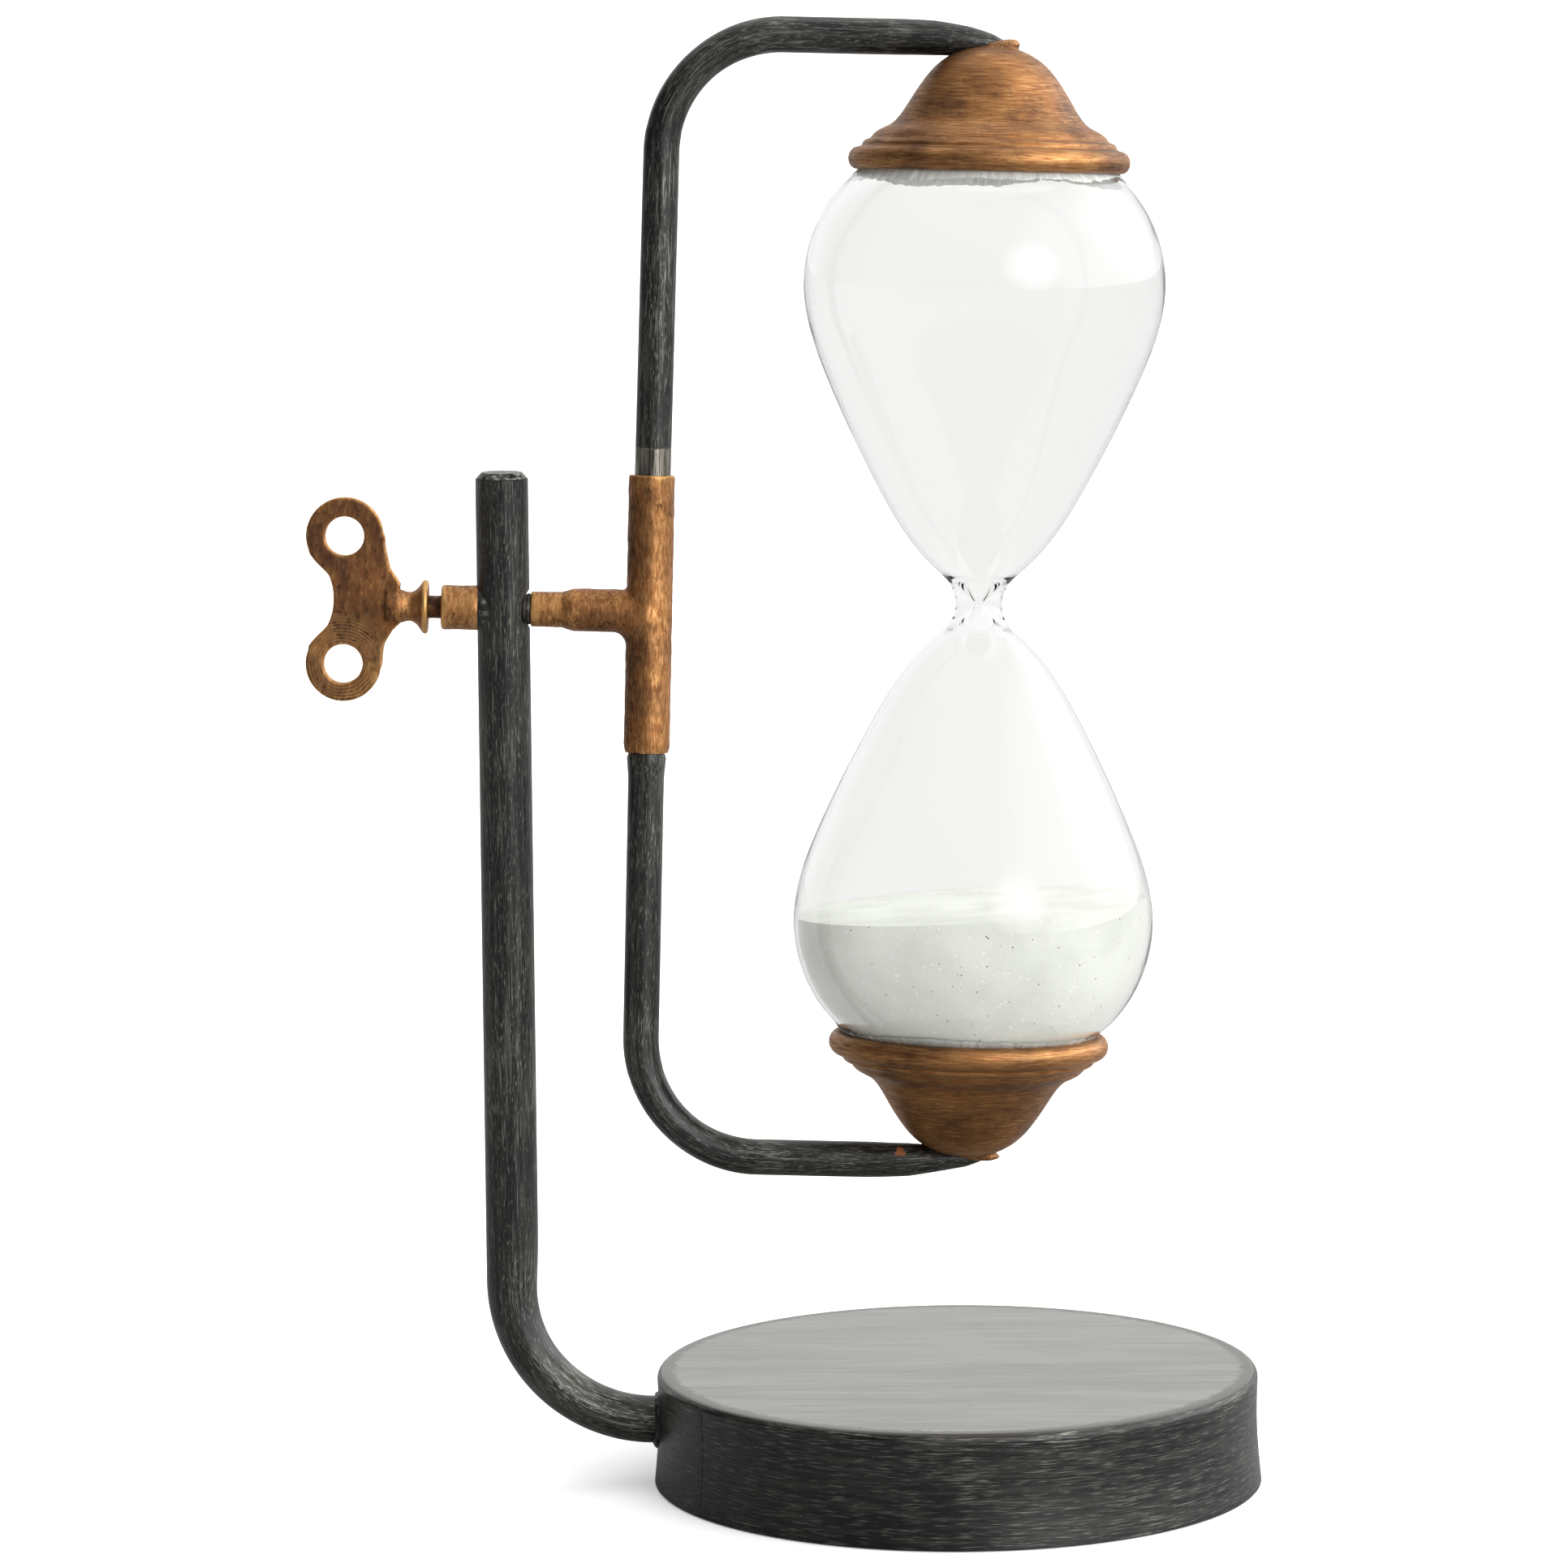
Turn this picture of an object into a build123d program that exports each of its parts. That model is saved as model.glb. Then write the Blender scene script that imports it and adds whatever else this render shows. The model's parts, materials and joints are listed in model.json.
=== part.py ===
from build123d import *
import os
from math import cos, radians, sin

# Decorative revolving hourglass. A heavy round foot carries a bent upright bar. A cross pivot near the top of
# the upright holds a C-shaped rod frame with two brass bells, and the blown glass sits between the bells.
# Millimetres. Origin: centre of the foot's underside. +Z up, +X from the upright towards the glass.

# ---- driving dimensions -------------------------------------------------------------------------------------
# round foot
FOOT_R_TOP = 69.3           # drum radius under the rounded top edge
FOOT_R_BOTTOM = 70.1        # drum radius at the lower edge, slightly flared
FOOT_R_WAIST = 69.1         # drum radius half way up, the sheet is slightly hollow
FOOT_HEIGHT = 26.4
FOOT_EDGE_R = 1.8           # rounding of the top edge
FELT_T = 1.0
FELT_R = 66.5
DRUM_GAP = 0.2              # the drum's lower edge clears the table by this much
SHEET_T = 1.6
TOP_PLATE_T = 3.0
BOTTOM_PLATE_T = 2.0
WEIGHT_R = 64.0
WEIGHT_T = 17.0
SCREW_CIRCLE_R = 52.0
SCREW_COUNT = 4
SCREW_R = 2.0
SCREW_HEAD_R = 3.6
SCREW_HEAD_T = 1.8
SCREW_L = 12.0              # under the head
SCREW_SLOT_W = 0.9
SCREW_SLOT_DEPTH = 0.9
WEIGHT_CHAMFER = 1.5
FELT_HOLE_GAP = 1.0         # radial, felt round a screw head
SEAM_ANGLE = 212.0          # where the rolled sheet's two ends meet
SEAM_W = 0.3

# bent upright
POST_X = -102.4
POST_R = 6.0
POST_WALL = 1.6
POST_TOP = 233.1
POST_FOOT_Z = 15.3          # height of the level part that meets the foot
POST_BEND_R = 32.4
PLUG_T = 1.5
PLUG_FACE_R = 4.65
PLUG_SPIGOT_L = 5.0
WELD_R = 7.0
WELD_L = 1.4
WELD_LAP = 2.0              # the bead's section runs on into the drum before it is cut back

# cross pivot: distances along the spindle are counted from the upright's centre line, + towards the glass
PIVOT_Z = 203.5
DROOP = 1.7                 # the spindle hangs down this many degrees on the glass side
LEAN = 3.0                  # the frame's top is parked this many degrees away from the front
SPINDLE_R = 2.0
RUN_CLEARANCE = 0.05        # radial, spindle in bush
FIT_GAP = 0.02              # between parts that are pressed or brazed together
FACE_GAP = 0.1              # between faces that turn past each other
BUSH_R = 5.1
BUSH_BARREL_R = 3.9
BUSH_LEFT = -14.1
BUSH_RIGHT = 4.3
BUSH_COLLAR_END = -2.0      # the wide collar is cut to the upright's curve before this
BUSH_CHAMFER = 0.4
SPOT_FACE_R = 4.6
WASHER_R = 3.55
WASHER_T = 0.9
SPACER_R = 2.6
SLEEVE_R = 4.05
SLEEVE_END = 20.0
KEY_FLANGE_R = 6.15
KEY_FLANGE_X = -17.1
KEY_FLANGE_T = 1.6
KEY_NECK_R = 3.9
KEY_NECK_X = -21.1
KEY_BARREL_END = -25.6
KEY_SOCKET_WALL = 3.0       # metal left behind the spindle's end in the key
SPINDLE_STOP = 1.2          # the spindle ends this far short of the rods

# key bow: a flat plate with two round holes
BOW_T = 3.2
BOW_X = -36.3
BOW_Z = 1.2
BOW_HOLE_R = 4.4
BOW_HOLE_SPACING = 29.1
BOW_LOBE_R = 8.8
BOW_WAIST_X = -38.6
BOW_WAIST_ANGLE = 62.0      # where the hollow side leaves the lobes
BOW_LAP = 1.5               # the plate's shoulders run on over the ferrule's barrel before they are cut back
BOW_STEP = 0.6              # the lower shoulder meets the barrel this much inside its radius
UPPER_SHOULDER = [(-26.8, 12.7), (-25.8, 8.6), (-23.7, 5.7)]
LOWER_SHOULDER = [(-23.2, -3.6), (-25.1, -5.5), (-26.8, -8.4)]

# tee fitting
TEE_X = 33.2
TEE_R = 5.25
TEE_BORE_R = 4.4
TEE_TOP = 31.0
TEE_BOTTOM = -32.5
STUB_R = 4.88
STUB_X = 15.9
STUB_TAPER = 2.6
STUB_LIP = 0.3              # the stub's thin end stands this much proud of the sleeve

# C-shaped frame of two bent rods
ROD_R = 4.1
ROD_BEND_R = 27.2
UPPER_ROD_SHIFT = 0.7       # the upper rod leans outwards by this much at its bend
UPPER_ROD_Z = 131.2
LOWER_ROD_Z = -124.6
# forged taper of each rod's end, as distance along the spindle, height of the middle, radius
UPPER_TAPER = [(87.5, 131.2, 4.1), (102.5, 130.6, 3.5), (110.2, 129.8, 1.8)]
LOWER_TAPER = [(87.5, -124.6, 4.1), (103.0, -123.7, 2.9), (110.4, -123.2, 1.5)]
BRAZE_L = 4.8               # filler metal that runs on from each tip over the crown
BRAZE_TIP_R = 0.6
SOLDER_R = 4.45
SOLDER_L = 5.0

# brass bells, heights counted from the open mouth
GLASS_X = 108.1
UPPER_MOUTH_Z = 101.3
LOWER_MOUTH_Z = -95.0
BELL_H = 28.4
BELL_RIM_R = 31.95
BELL_RIM_H = 5.1
BELL_RIM_CORNER = 1.2
BELL_GROOVE_RISE = 0.3      # the groove's floor rises this much over the rim band
BELL_GROOVE_R = 28.0
BELL_BEAD_R = 28.5
BELL_BEAD_H = 7.0
BELL_BEAD_LIP = 0.9         # the bead stands this much outside the start of the hollow side
BELL_SLOPE = 0.35           # steepness of the hollow side at the bead
BELL_MOUTH_R = 29.9
BELL_WALL = 1.0
BELL_MOUTH_DEPTH = 3.2      # straight part of the opening
BELL_THROAT = (26.9, 6.2)   # radius, height where the opening starts to follow the hollow side
WALL_IN = 1.1               # share of the wall taken off the radius along the hollow side
WALL_DOWN = 0.8             # share of the wall taken off the height along the hollow side
CAVITY_SLOPE = 0.4
MOUTH_CUT = 1.0             # the cavity's section starts this far outside the mouth

# blown glass, distances counted from the middle of the neck
NECK_Z = 3.3
NECK_R = 5.2
NECK_BORE_R = 0.8
CONE_START = (10.4, 8.2)    # radius, distance
CONE_END = (24.2, 27.7)
BULB_R = 41.0
BULB_WIDEST = 71.5
BULB_FLANK = (35.2, 50.4)
BULB_SHOULDER = (38.3, 85.7)
BULB_MOUTH = (29.5, 97.5)
BULB_CROWN = 105.6
GLASS_WALL = 1.6
NECK_INSET = 3.2            # how many walls thick the glass is where the neck meets the cone
CONE_INSET = 1.22
FLANK_INSET = 1.06
SHOULDER_INSET = (0.95, 0.3)
MOUTH_INSET = (0.8, 0.75)
FILL_HOLE_R = 5.0
PLUG_CORK_R = 4.9
PLUG_CORK_T = 4.0
PLUG_CORK_PROUD = 0.6
SAND_LEVEL = -68.9          # from the neck
SAND_TILT = 4.4
SAND_GAP = 0.15
LINER_R = 17.0
LINER_T = 3.4
LINER_GAP = 0.75            # dab of adhesive between the glass crown and its liner
GLUE_H = 2.2
GLUE_PROUD = 0.4            # the ring bulges this far out of the mouth
GLUE_W = 6.0
OVERSIZE = 200.0            # cutting blocks reach past the parts

# ---- shared planes and axes ---------------------------------------------------------------------------------
# The carrier frame sits at the pivot. Its X runs along the drooping spindle and its Z up the leaning glass.
carrier = Plane(
    Location((POST_X, 0, PIVOT_Z)) * Location((0, 0, 0), (0, DROOP, 0)) * Location((0, 0, 0), (-LEAN, 0, 0))
)
front = Plane(origin=carrier.origin, x_dir=carrier.x_dir, z_dir=-carrier.y_dir)
spindle_axis = Axis(carrier.origin, carrier.x_dir)
glass_axis = Axis(carrier.from_local_coords((GLASS_X, 0, 0)), carrier.z_dir)
world_front = Plane.XZ


def across(x, z=0):
    """Plane square to the spindle, x mm along it from the upright's centre line, z mm above it."""
    return Plane(
        origin=carrier.from_local_coords((x, 0, z)),
        x_dir=carrier.y_dir,
        z_dir=carrier.x_dir,
    )


def level(z, x=GLASS_X):
    """Plane square to the glass, z mm above the spindle, centred x mm along the spindle."""
    return Plane(origin=carrier.from_local_coords((x, 0, z)), x_dir=carrier.x_dir, z_dir=carrier.z_dir)


os.makedirs("parts", exist_ok=True)


def save(part, label):
    """Name the part and write its STEP file."""
    part.label = label
    export_step(part, f"parts/{label}.step")


# ---- round foot ---------------------------------------------------------------------------------------------
# Solid outline of the drum, used to cut what meets it.
with BuildPart() as drum_outline:
    with BuildSketch(world_front):
        with BuildLine():
            Polyline((0, DRUM_GAP), (FOOT_R_BOTTOM, DRUM_GAP))
            ThreePointArc(
                (FOOT_R_BOTTOM, DRUM_GAP),
                (FOOT_R_WAIST, FOOT_HEIGHT * 0.6),
                (FOOT_R_TOP, FOOT_HEIGHT - TOP_PLATE_T),
            )
            Polyline(
                (FOOT_R_TOP, FOOT_HEIGHT - TOP_PLATE_T),
                (FOOT_R_TOP, FOOT_HEIGHT),
                (0, FOOT_HEIGHT),
                (0, DRUM_GAP),
            )
        make_face()
    revolve(axis=Axis.Z)

# Sheet rolled into a ring, open at the seam.
with BuildPart() as base_side_band:
    add(drum_outline.part)
    with Locations((0, 0, FOOT_HEIGHT - TOP_PLATE_T)):
        Cylinder(OVERSIZE, OVERSIZE, align=(Align.CENTER, Align.CENTER, Align.MIN), mode=Mode.SUBTRACT)
    Cylinder(FOOT_R_WAIST - SHEET_T, OVERSIZE, mode=Mode.SUBTRACT)
    with Locations(Location((0, 0, 0), (0, 0, SEAM_ANGLE)) * Location((FOOT_R_TOP, 0, FOOT_HEIGHT / 2))):
        Box(4 * SHEET_T, SEAM_W, 2 * FOOT_HEIGHT, mode=Mode.SUBTRACT)
save(base_side_band.part, "base_side_band")

with BuildPart() as base_top_plate:
    with BuildSketch(Plane.XY.offset(FOOT_HEIGHT - TOP_PLATE_T)):
        Circle(FOOT_R_TOP)
    extrude(amount=TOP_PLATE_T)
    fillet(base_top_plate.edges().sort_by(Axis.Z)[-1], FOOT_EDGE_R)
save(base_top_plate.part, "base_top_plate")

weight_z = FOOT_HEIGHT - TOP_PLATE_T - WEIGHT_T
with BuildPart() as base_weight:
    with BuildSketch(Plane.XY.offset(weight_z)):
        Circle(WEIGHT_R)
    extrude(amount=WEIGHT_T)
    chamfer(base_weight.edges(), WEIGHT_CHAMFER)
    with PolarLocations(SCREW_CIRCLE_R, SCREW_COUNT, 45):
        with Locations((0, 0, weight_z)):
            Cylinder(
                SCREW_R + FIT_GAP,
                SCREW_L,
                align=(Align.CENTER, Align.CENTER, Align.MIN),
                mode=Mode.SUBTRACT,
            )
save(base_weight.part, "base_weight")

plate_z = weight_z - BOTTOM_PLATE_T
plate_r = FOOT_R_WAIST - SHEET_T - FIT_GAP
with BuildPart() as base_bottom_plate:
    with BuildSketch(Plane.XY.offset(plate_z)):
        Circle(plate_r)
        with PolarLocations(SCREW_CIRCLE_R, SCREW_COUNT, 45):
            Circle(SCREW_R + FIT_GAP, mode=Mode.SUBTRACT)
    extrude(amount=BOTTOM_PLATE_T)
save(base_bottom_plate.part, "base_bottom_plate")

with BuildPart() as bottom_plate_screws:
    with BuildSketch(Plane.XY.offset(plate_z - SCREW_HEAD_T)):
        with PolarLocations(SCREW_CIRCLE_R, SCREW_COUNT, 45):
            Circle(SCREW_HEAD_R)
    extrude(amount=SCREW_HEAD_T)
    with BuildSketch(Plane.XY.offset(plate_z)):
        with PolarLocations(SCREW_CIRCLE_R, SCREW_COUNT, 45):
            Circle(SCREW_R)
    extrude(amount=SCREW_L)
    with BuildSketch(Plane.XY.offset(plate_z - SCREW_HEAD_T)):
        with PolarLocations(SCREW_CIRCLE_R, SCREW_COUNT, 45):
            Rectangle(2 * SCREW_HEAD_R, SCREW_SLOT_W)
    extrude(amount=SCREW_SLOT_DEPTH, mode=Mode.SUBTRACT)
save(bottom_plate_screws.part, "bottom_plate_screws")

# Felt sole on a raised ring, so the drum's edge never scratches the table.
with BuildPart() as base_felt:
    with BuildSketch():
        Circle(FELT_R)
    extrude(amount=FELT_T)
    with BuildSketch(Plane.XY.offset(FELT_T)):
        Circle(FELT_R)
        with PolarLocations(SCREW_CIRCLE_R, SCREW_COUNT, 45):
            Circle(SCREW_HEAD_R + FELT_HOLE_GAP, mode=Mode.SUBTRACT)
    extrude(amount=plate_z - FELT_T)
save(base_felt.part, "base_felt")

# ---- upright ------------------------------------------------------------------------------------------------
bend_x = POST_X + POST_BEND_R
bend_z = POST_FOOT_Z + POST_BEND_R
bend_mid = (bend_x - POST_BEND_R * cos(radians(45)), bend_z - POST_BEND_R * sin(radians(45)))
with BuildPart() as post:
    with BuildLine(world_front) as post_path:
        Line((POST_X, POST_TOP), (POST_X, bend_z))
        ThreePointArc((POST_X, bend_z), bend_mid, (bend_x, POST_FOOT_Z))
        Line((bend_x, POST_FOOT_Z), (bend_x + POST_R, POST_FOOT_Z))
    with BuildSketch(Plane((POST_X, 0, POST_TOP))):
        Circle(POST_R)
        Circle(POST_R - POST_WALL, mode=Mode.SUBTRACT)
    sweep(path=post_path.wires()[0])
    add(drum_outline.part, mode=Mode.SUBTRACT)
    with BuildSketch(across(-2 * POST_R)):
        Circle(BUSH_BARREL_R + FIT_GAP)
    extrude(amount=4 * POST_R, mode=Mode.SUBTRACT)
    with BuildSketch(across(BUSH_RIGHT)):
        Circle(SPOT_FACE_R)
    extrude(amount=POST_R, mode=Mode.SUBTRACT)
save(post.part, "post")

with BuildPart() as post_top_plug:
    with BuildSketch(Plane.XY.offset(POST_TOP)):
        with Locations((POST_X, 0)):
            Circle(POST_R)
    with BuildSketch(Plane.XY.offset(POST_TOP + PLUG_T)):
        with Locations((POST_X, 0)):
            Circle(PLUG_FACE_R)
    loft()
    with BuildSketch(Plane.XY.offset(POST_TOP - PLUG_SPIGOT_L)):
        with Locations((POST_X, 0)):
            Circle(POST_R - POST_WALL - FIT_GAP)
    extrude(amount=PLUG_SPIGOT_L)
save(post_top_plug.part, "post_top_plug")

# Weld all round where the upright butts against the drum.
with BuildPart() as post_weld:
    with BuildSketch(world_front):
        with BuildLine():
            Polyline(
                (-FOOT_R_WAIST - WELD_L, POST_FOOT_Z + POST_R + FIT_GAP),
                (-FOOT_R_WAIST, POST_FOOT_Z + WELD_R),
                (-FOOT_R_WAIST + WELD_LAP, POST_FOOT_Z + WELD_R),
                (-FOOT_R_WAIST + WELD_LAP, POST_FOOT_Z + POST_R + FIT_GAP),
                close=True,
            )
        make_face()
    revolve(axis=Axis((0, 0, POST_FOOT_Z), (1, 0, 0)))
    add(drum_outline.part, mode=Mode.SUBTRACT)
save(post_weld.part, "post_weld")

with BuildPart() as pivot_bush:
    with BuildSketch(across(BUSH_LEFT)):
        Circle(BUSH_R)
    extrude(amount=BUSH_COLLAR_END - BUSH_LEFT)
    with Locations((POST_X, 0, PIVOT_Z)):
        Cylinder(POST_R + FIT_GAP, 4 * BUSH_R, mode=Mode.SUBTRACT)
    with BuildSketch(across(BUSH_LEFT)):
        Circle(BUSH_BARREL_R)
    extrude(amount=BUSH_RIGHT - BUSH_LEFT)
    with BuildSketch(across(BUSH_LEFT)):
        Circle(SPINDLE_R + RUN_CLEARANCE)
    extrude(amount=BUSH_RIGHT - BUSH_LEFT, mode=Mode.SUBTRACT)
    chamfer(pivot_bush.faces().sort_by(spindle_axis)[0].outer_wire().edges(), BUSH_CHAMFER)
save(pivot_bush.part, "pivot_bush")

# ---- spindle and what turns on it ---------------------------------------------------------------------------
spindle_left = KEY_BARREL_END + KEY_SOCKET_WALL
spindle_right = TEE_X - ROD_R - SPINDLE_STOP
with BuildPart() as spindle:
    with BuildSketch(across(spindle_left)):
        Circle(SPINDLE_R)
    extrude(amount=spindle_right - spindle_left)
save(spindle.part, "spindle")

with BuildPart() as spindle_spacer:
    with BuildSketch(across(KEY_FLANGE_X + FIT_GAP)):
        Circle(SPACER_R)
        Circle(SPINDLE_R + FIT_GAP, mode=Mode.SUBTRACT)
    extrude(amount=BUSH_LEFT - FACE_GAP - KEY_FLANGE_X - FIT_GAP)
save(spindle_spacer.part, "spindle_spacer")

washer_x = BUSH_RIGHT + FACE_GAP
with BuildPart() as friction_washer:
    with BuildSketch(across(washer_x)):
        Circle(WASHER_R)
        Circle(SPINDLE_R + FIT_GAP, mode=Mode.SUBTRACT)
    extrude(amount=WASHER_T)
save(friction_washer.part, "friction_washer")

sleeve_x = washer_x + 2 * WASHER_T + 2 * FIT_GAP
with BuildPart() as backing_washer:
    with BuildSketch(across(washer_x + WASHER_T + FIT_GAP)):
        Circle(WASHER_R)
        Circle(SPINDLE_R + FIT_GAP, mode=Mode.SUBTRACT)
    extrude(amount=WASHER_T)
save(backing_washer.part, "backing_washer")

with BuildPart() as spindle_sleeve:
    with BuildSketch(across(sleeve_x)):
        Circle(SLEEVE_R)
        Circle(SPINDLE_R + FIT_GAP, mode=Mode.SUBTRACT)
    extrude(amount=SLEEVE_END - sleeve_x)
save(spindle_sleeve.part, "spindle_sleeve")

with BuildPart() as key_ferrule:
    with BuildSketch(front):
        with BuildLine():
            Polyline(
                (KEY_FLANGE_X, 0),
                (KEY_FLANGE_X, KEY_FLANGE_R),
                (KEY_FLANGE_X - KEY_FLANGE_T, KEY_FLANGE_R),
                (KEY_NECK_X, KEY_NECK_R),
                (KEY_BARREL_END, KEY_NECK_R),
                (KEY_BARREL_END, 0),
                close=True,
            )
        make_face()
    revolve(axis=spindle_axis)
    with BuildSketch(across(KEY_FLANGE_X)):
        Circle(SPINDLE_R + FIT_GAP)
    extrude(amount=-(KEY_FLANGE_X - spindle_left) - FIT_GAP, mode=Mode.SUBTRACT)
save(key_ferrule.part, "key_ferrule")

# Flat bow: two lobes round the holes, hollowed on the far side, running into the ferrule on the near side.
lobe_z = BOW_HOLE_SPACING / 2
waist_reach = BOW_LOBE_R * sin(radians(BOW_WAIST_ANGLE))
waist_drop = BOW_LOBE_R * cos(radians(BOW_WAIST_ANGLE))
upper_hole = (BOW_X, BOW_Z + lobe_z)
lower_hole = (BOW_X, BOW_Z - lobe_z)
upper_waist = (BOW_X - waist_reach, upper_hole[1] - waist_drop)
lower_waist = (BOW_X - waist_reach, lower_hole[1] + waist_drop)
with BuildPart() as key_bow:
    with BuildSketch(front.offset(-BOW_T / 2)):
        with BuildLine():
            ThreePointArc(upper_waist, (BOW_WAIST_X, BOW_Z), lower_waist)
            Polyline(
                lower_waist,
                lower_hole,
                (BOW_X + BOW_LOBE_R, lower_hole[1]),
                *reversed(LOWER_SHOULDER),
                (KEY_NECK_X - BOW_LAP, -KEY_NECK_R + BOW_STEP),
                (KEY_NECK_X - BOW_LAP, KEY_NECK_R),
                *reversed(UPPER_SHOULDER),
                (BOW_X + BOW_LOBE_R, upper_hole[1]),
                upper_hole,
                upper_waist,
            )
        make_face()
        with Locations(upper_hole, lower_hole):
            Circle(BOW_LOBE_R)
            Circle(BOW_HOLE_R, mode=Mode.SUBTRACT)
    extrude(amount=BOW_T)
    with BuildSketch(across(KEY_BARREL_END - FIT_GAP)):
        Circle(KEY_NECK_R + FIT_GAP)
    extrude(amount=OVERSIZE, mode=Mode.SUBTRACT)
save(key_bow.part, "key_bow")

with BuildPart() as tee_fitting:
    with BuildSketch(level(TEE_BOTTOM, TEE_X)):
        Circle(TEE_R)
    extrude(amount=TEE_TOP - TEE_BOTTOM)
    with BuildSketch(across(STUB_X)):
        Circle(STUB_R)
    extrude(amount=TEE_X - STUB_X)
    with BuildSketch(across(STUB_X - STUB_TAPER)):
        Circle(SLEEVE_R + STUB_LIP)
    with BuildSketch(across(STUB_X)):
        Circle(STUB_R)
    loft()
    with BuildSketch(level(TEE_BOTTOM, TEE_X)):
        Circle(TEE_BORE_R)
    extrude(amount=TEE_TOP - TEE_BOTTOM, mode=Mode.SUBTRACT)
    with BuildSketch(across(STUB_X - STUB_TAPER)):
        Circle(SLEEVE_R + FIT_GAP)
    extrude(amount=SLEEVE_END - STUB_X + STUB_TAPER + FIT_GAP, mode=Mode.SUBTRACT)
    with BuildSketch(across(STUB_X)):
        Circle(SPINDLE_R + FIT_GAP)
    extrude(amount=TEE_X - STUB_X, mode=Mode.SUBTRACT)
save(tee_fitting.part, "tee_fitting")

# ---- bells --------------------------------------------------------------------------------------------------
# The bell's hollow side from rim to crown, as radius and height over the mouth.
COVE = [
    (26.4, 7.9), (22.4, 10.4), (20.1, 12.9), (18.0, 16.3),
    (15.5, 20.2), (12.9, 23.4), (9.9, 25.8), (6.2, 27.5),
]


def bell_outline(mouth_z, side):
    """Half section of the full bell in the front plane, mouth at mouth_z, crown towards side."""

    def at(radius, height):
        return (GLASS_X + radius, mouth_z + side * height)

    with BuildSketch(front) as section:
        with BuildLine():
            Line(at(0, 0), at(BELL_RIM_R - BELL_RIM_CORNER, 0))
            ThreePointArc(
                at(BELL_RIM_R - BELL_RIM_CORNER, 0),
                at(BELL_RIM_R, BELL_RIM_H / 2),
                at(BELL_RIM_R - BELL_RIM_CORNER, BELL_RIM_H),
            )
            Line(at(BELL_RIM_R - BELL_RIM_CORNER, BELL_RIM_H), at(BELL_GROOVE_R, BELL_RIM_H + BELL_GROOVE_RISE))
            ThreePointArc(
                at(BELL_GROOVE_R, BELL_RIM_H + BELL_GROOVE_RISE),
                at(BELL_BEAD_R, (BELL_RIM_H + BELL_GROOVE_RISE + BELL_BEAD_H) / 2),
                at(COVE[0][0] + BELL_BEAD_LIP, BELL_BEAD_H),
            )
            Spline(
                [at(COVE[0][0] + BELL_BEAD_LIP, BELL_BEAD_H)] + [at(*p) for p in COVE] + [at(0, BELL_H)],
                tangents=[(-1, side * BELL_SLOPE), (-1, 0)],
            )
            Line(at(0, BELL_H), at(0, 0))
        make_face()
    return section.sketch


def bell_cavity(mouth_z, side):
    """Half section of the bell's hollow."""

    def at(radius, height):
        return (GLASS_X + radius, mouth_z + side * height)

    inner = [(p[0] - WALL_IN * BELL_WALL, p[1] - WALL_DOWN * BELL_WALL) for p in COVE]
    with BuildSketch(front) as section:
        with BuildLine():
            Polyline(
                at(0, -MOUTH_CUT),
                at(BELL_MOUTH_R, -MOUTH_CUT),
                at(BELL_MOUTH_R, BELL_MOUTH_DEPTH),
                at(*BELL_THROAT),
                at(*inner[0]),
            )
            Spline(
                [at(*p) for p in inner] + [at(0, BELL_H - BELL_WALL)],
                tangents=[(-1, side * CAVITY_SLOPE), (-1, 0)],
            )
            Line(at(0, BELL_H - BELL_WALL), at(0, -MOUTH_CUT))
        make_face()
    return section.sketch


# Full solids of the bells, used to cut the rods that are brazed onto their crowns.
with BuildPart() as upper_bell_outline:
    revolve(bell_outline(UPPER_MOUTH_Z, 1), axis=glass_axis)

with BuildPart() as lower_bell_outline:
    revolve(bell_outline(LOWER_MOUTH_Z, -1), axis=glass_axis)

with BuildPart() as upper_cap:
    add(upper_bell_outline.part)
    revolve(bell_cavity(UPPER_MOUTH_Z, 1), axis=glass_axis, mode=Mode.SUBTRACT)
save(upper_cap.part, "upper_cap")

with BuildPart() as lower_cap:
    add(lower_bell_outline.part)
    revolve(bell_cavity(LOWER_MOUTH_Z, -1), axis=glass_axis, mode=Mode.SUBTRACT)
save(lower_cap.part, "lower_cap")

# ---- C-shaped frame -----------------------------------------------------------------------------------------
def bent_rod(rod_z, start_z, shift, taper, side):
    """One L-shaped rod: up from start_z, round the bend, out along the tapered end."""
    corner_x = TEE_X + shift
    corner_z = rod_z - side * ROD_BEND_R
    middle = (
        corner_x + ROD_BEND_R * (1 - cos(radians(45))),
        corner_z + side * ROD_BEND_R * sin(radians(45)),
    )
    with BuildPart() as rod:
        with BuildLine(front) as path:
            Line((TEE_X, start_z), (corner_x, corner_z))
            ThreePointArc((corner_x, corner_z), middle, (corner_x + ROD_BEND_R, rod_z))
            Line((corner_x + ROD_BEND_R, rod_z), taper[0][:2])
        with BuildSketch(level(start_z, TEE_X)):
            Circle(ROD_R)
        sweep(path=path.wires()[0])
        for near, far in zip(taper, taper[1:]):
            with BuildSketch(across(near[0], near[1])):
                Circle(near[2])
            with BuildSketch(across(far[0], far[1])):
                Circle(far[2])
            loft()
    return rod.part


def braze(tip, side):
    """Filler metal running on from a rod's tip over the crown of a bell."""
    with BuildPart() as filler:
        with BuildSketch(across(tip[0] + FIT_GAP, tip[1])):
            Circle(tip[2])
        with BuildSketch(across(tip[0] + BRAZE_L, tip[1] - side * (tip[2] - BRAZE_TIP_R))):
            Circle(BRAZE_TIP_R)
        loft()
    return filler.part


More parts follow.
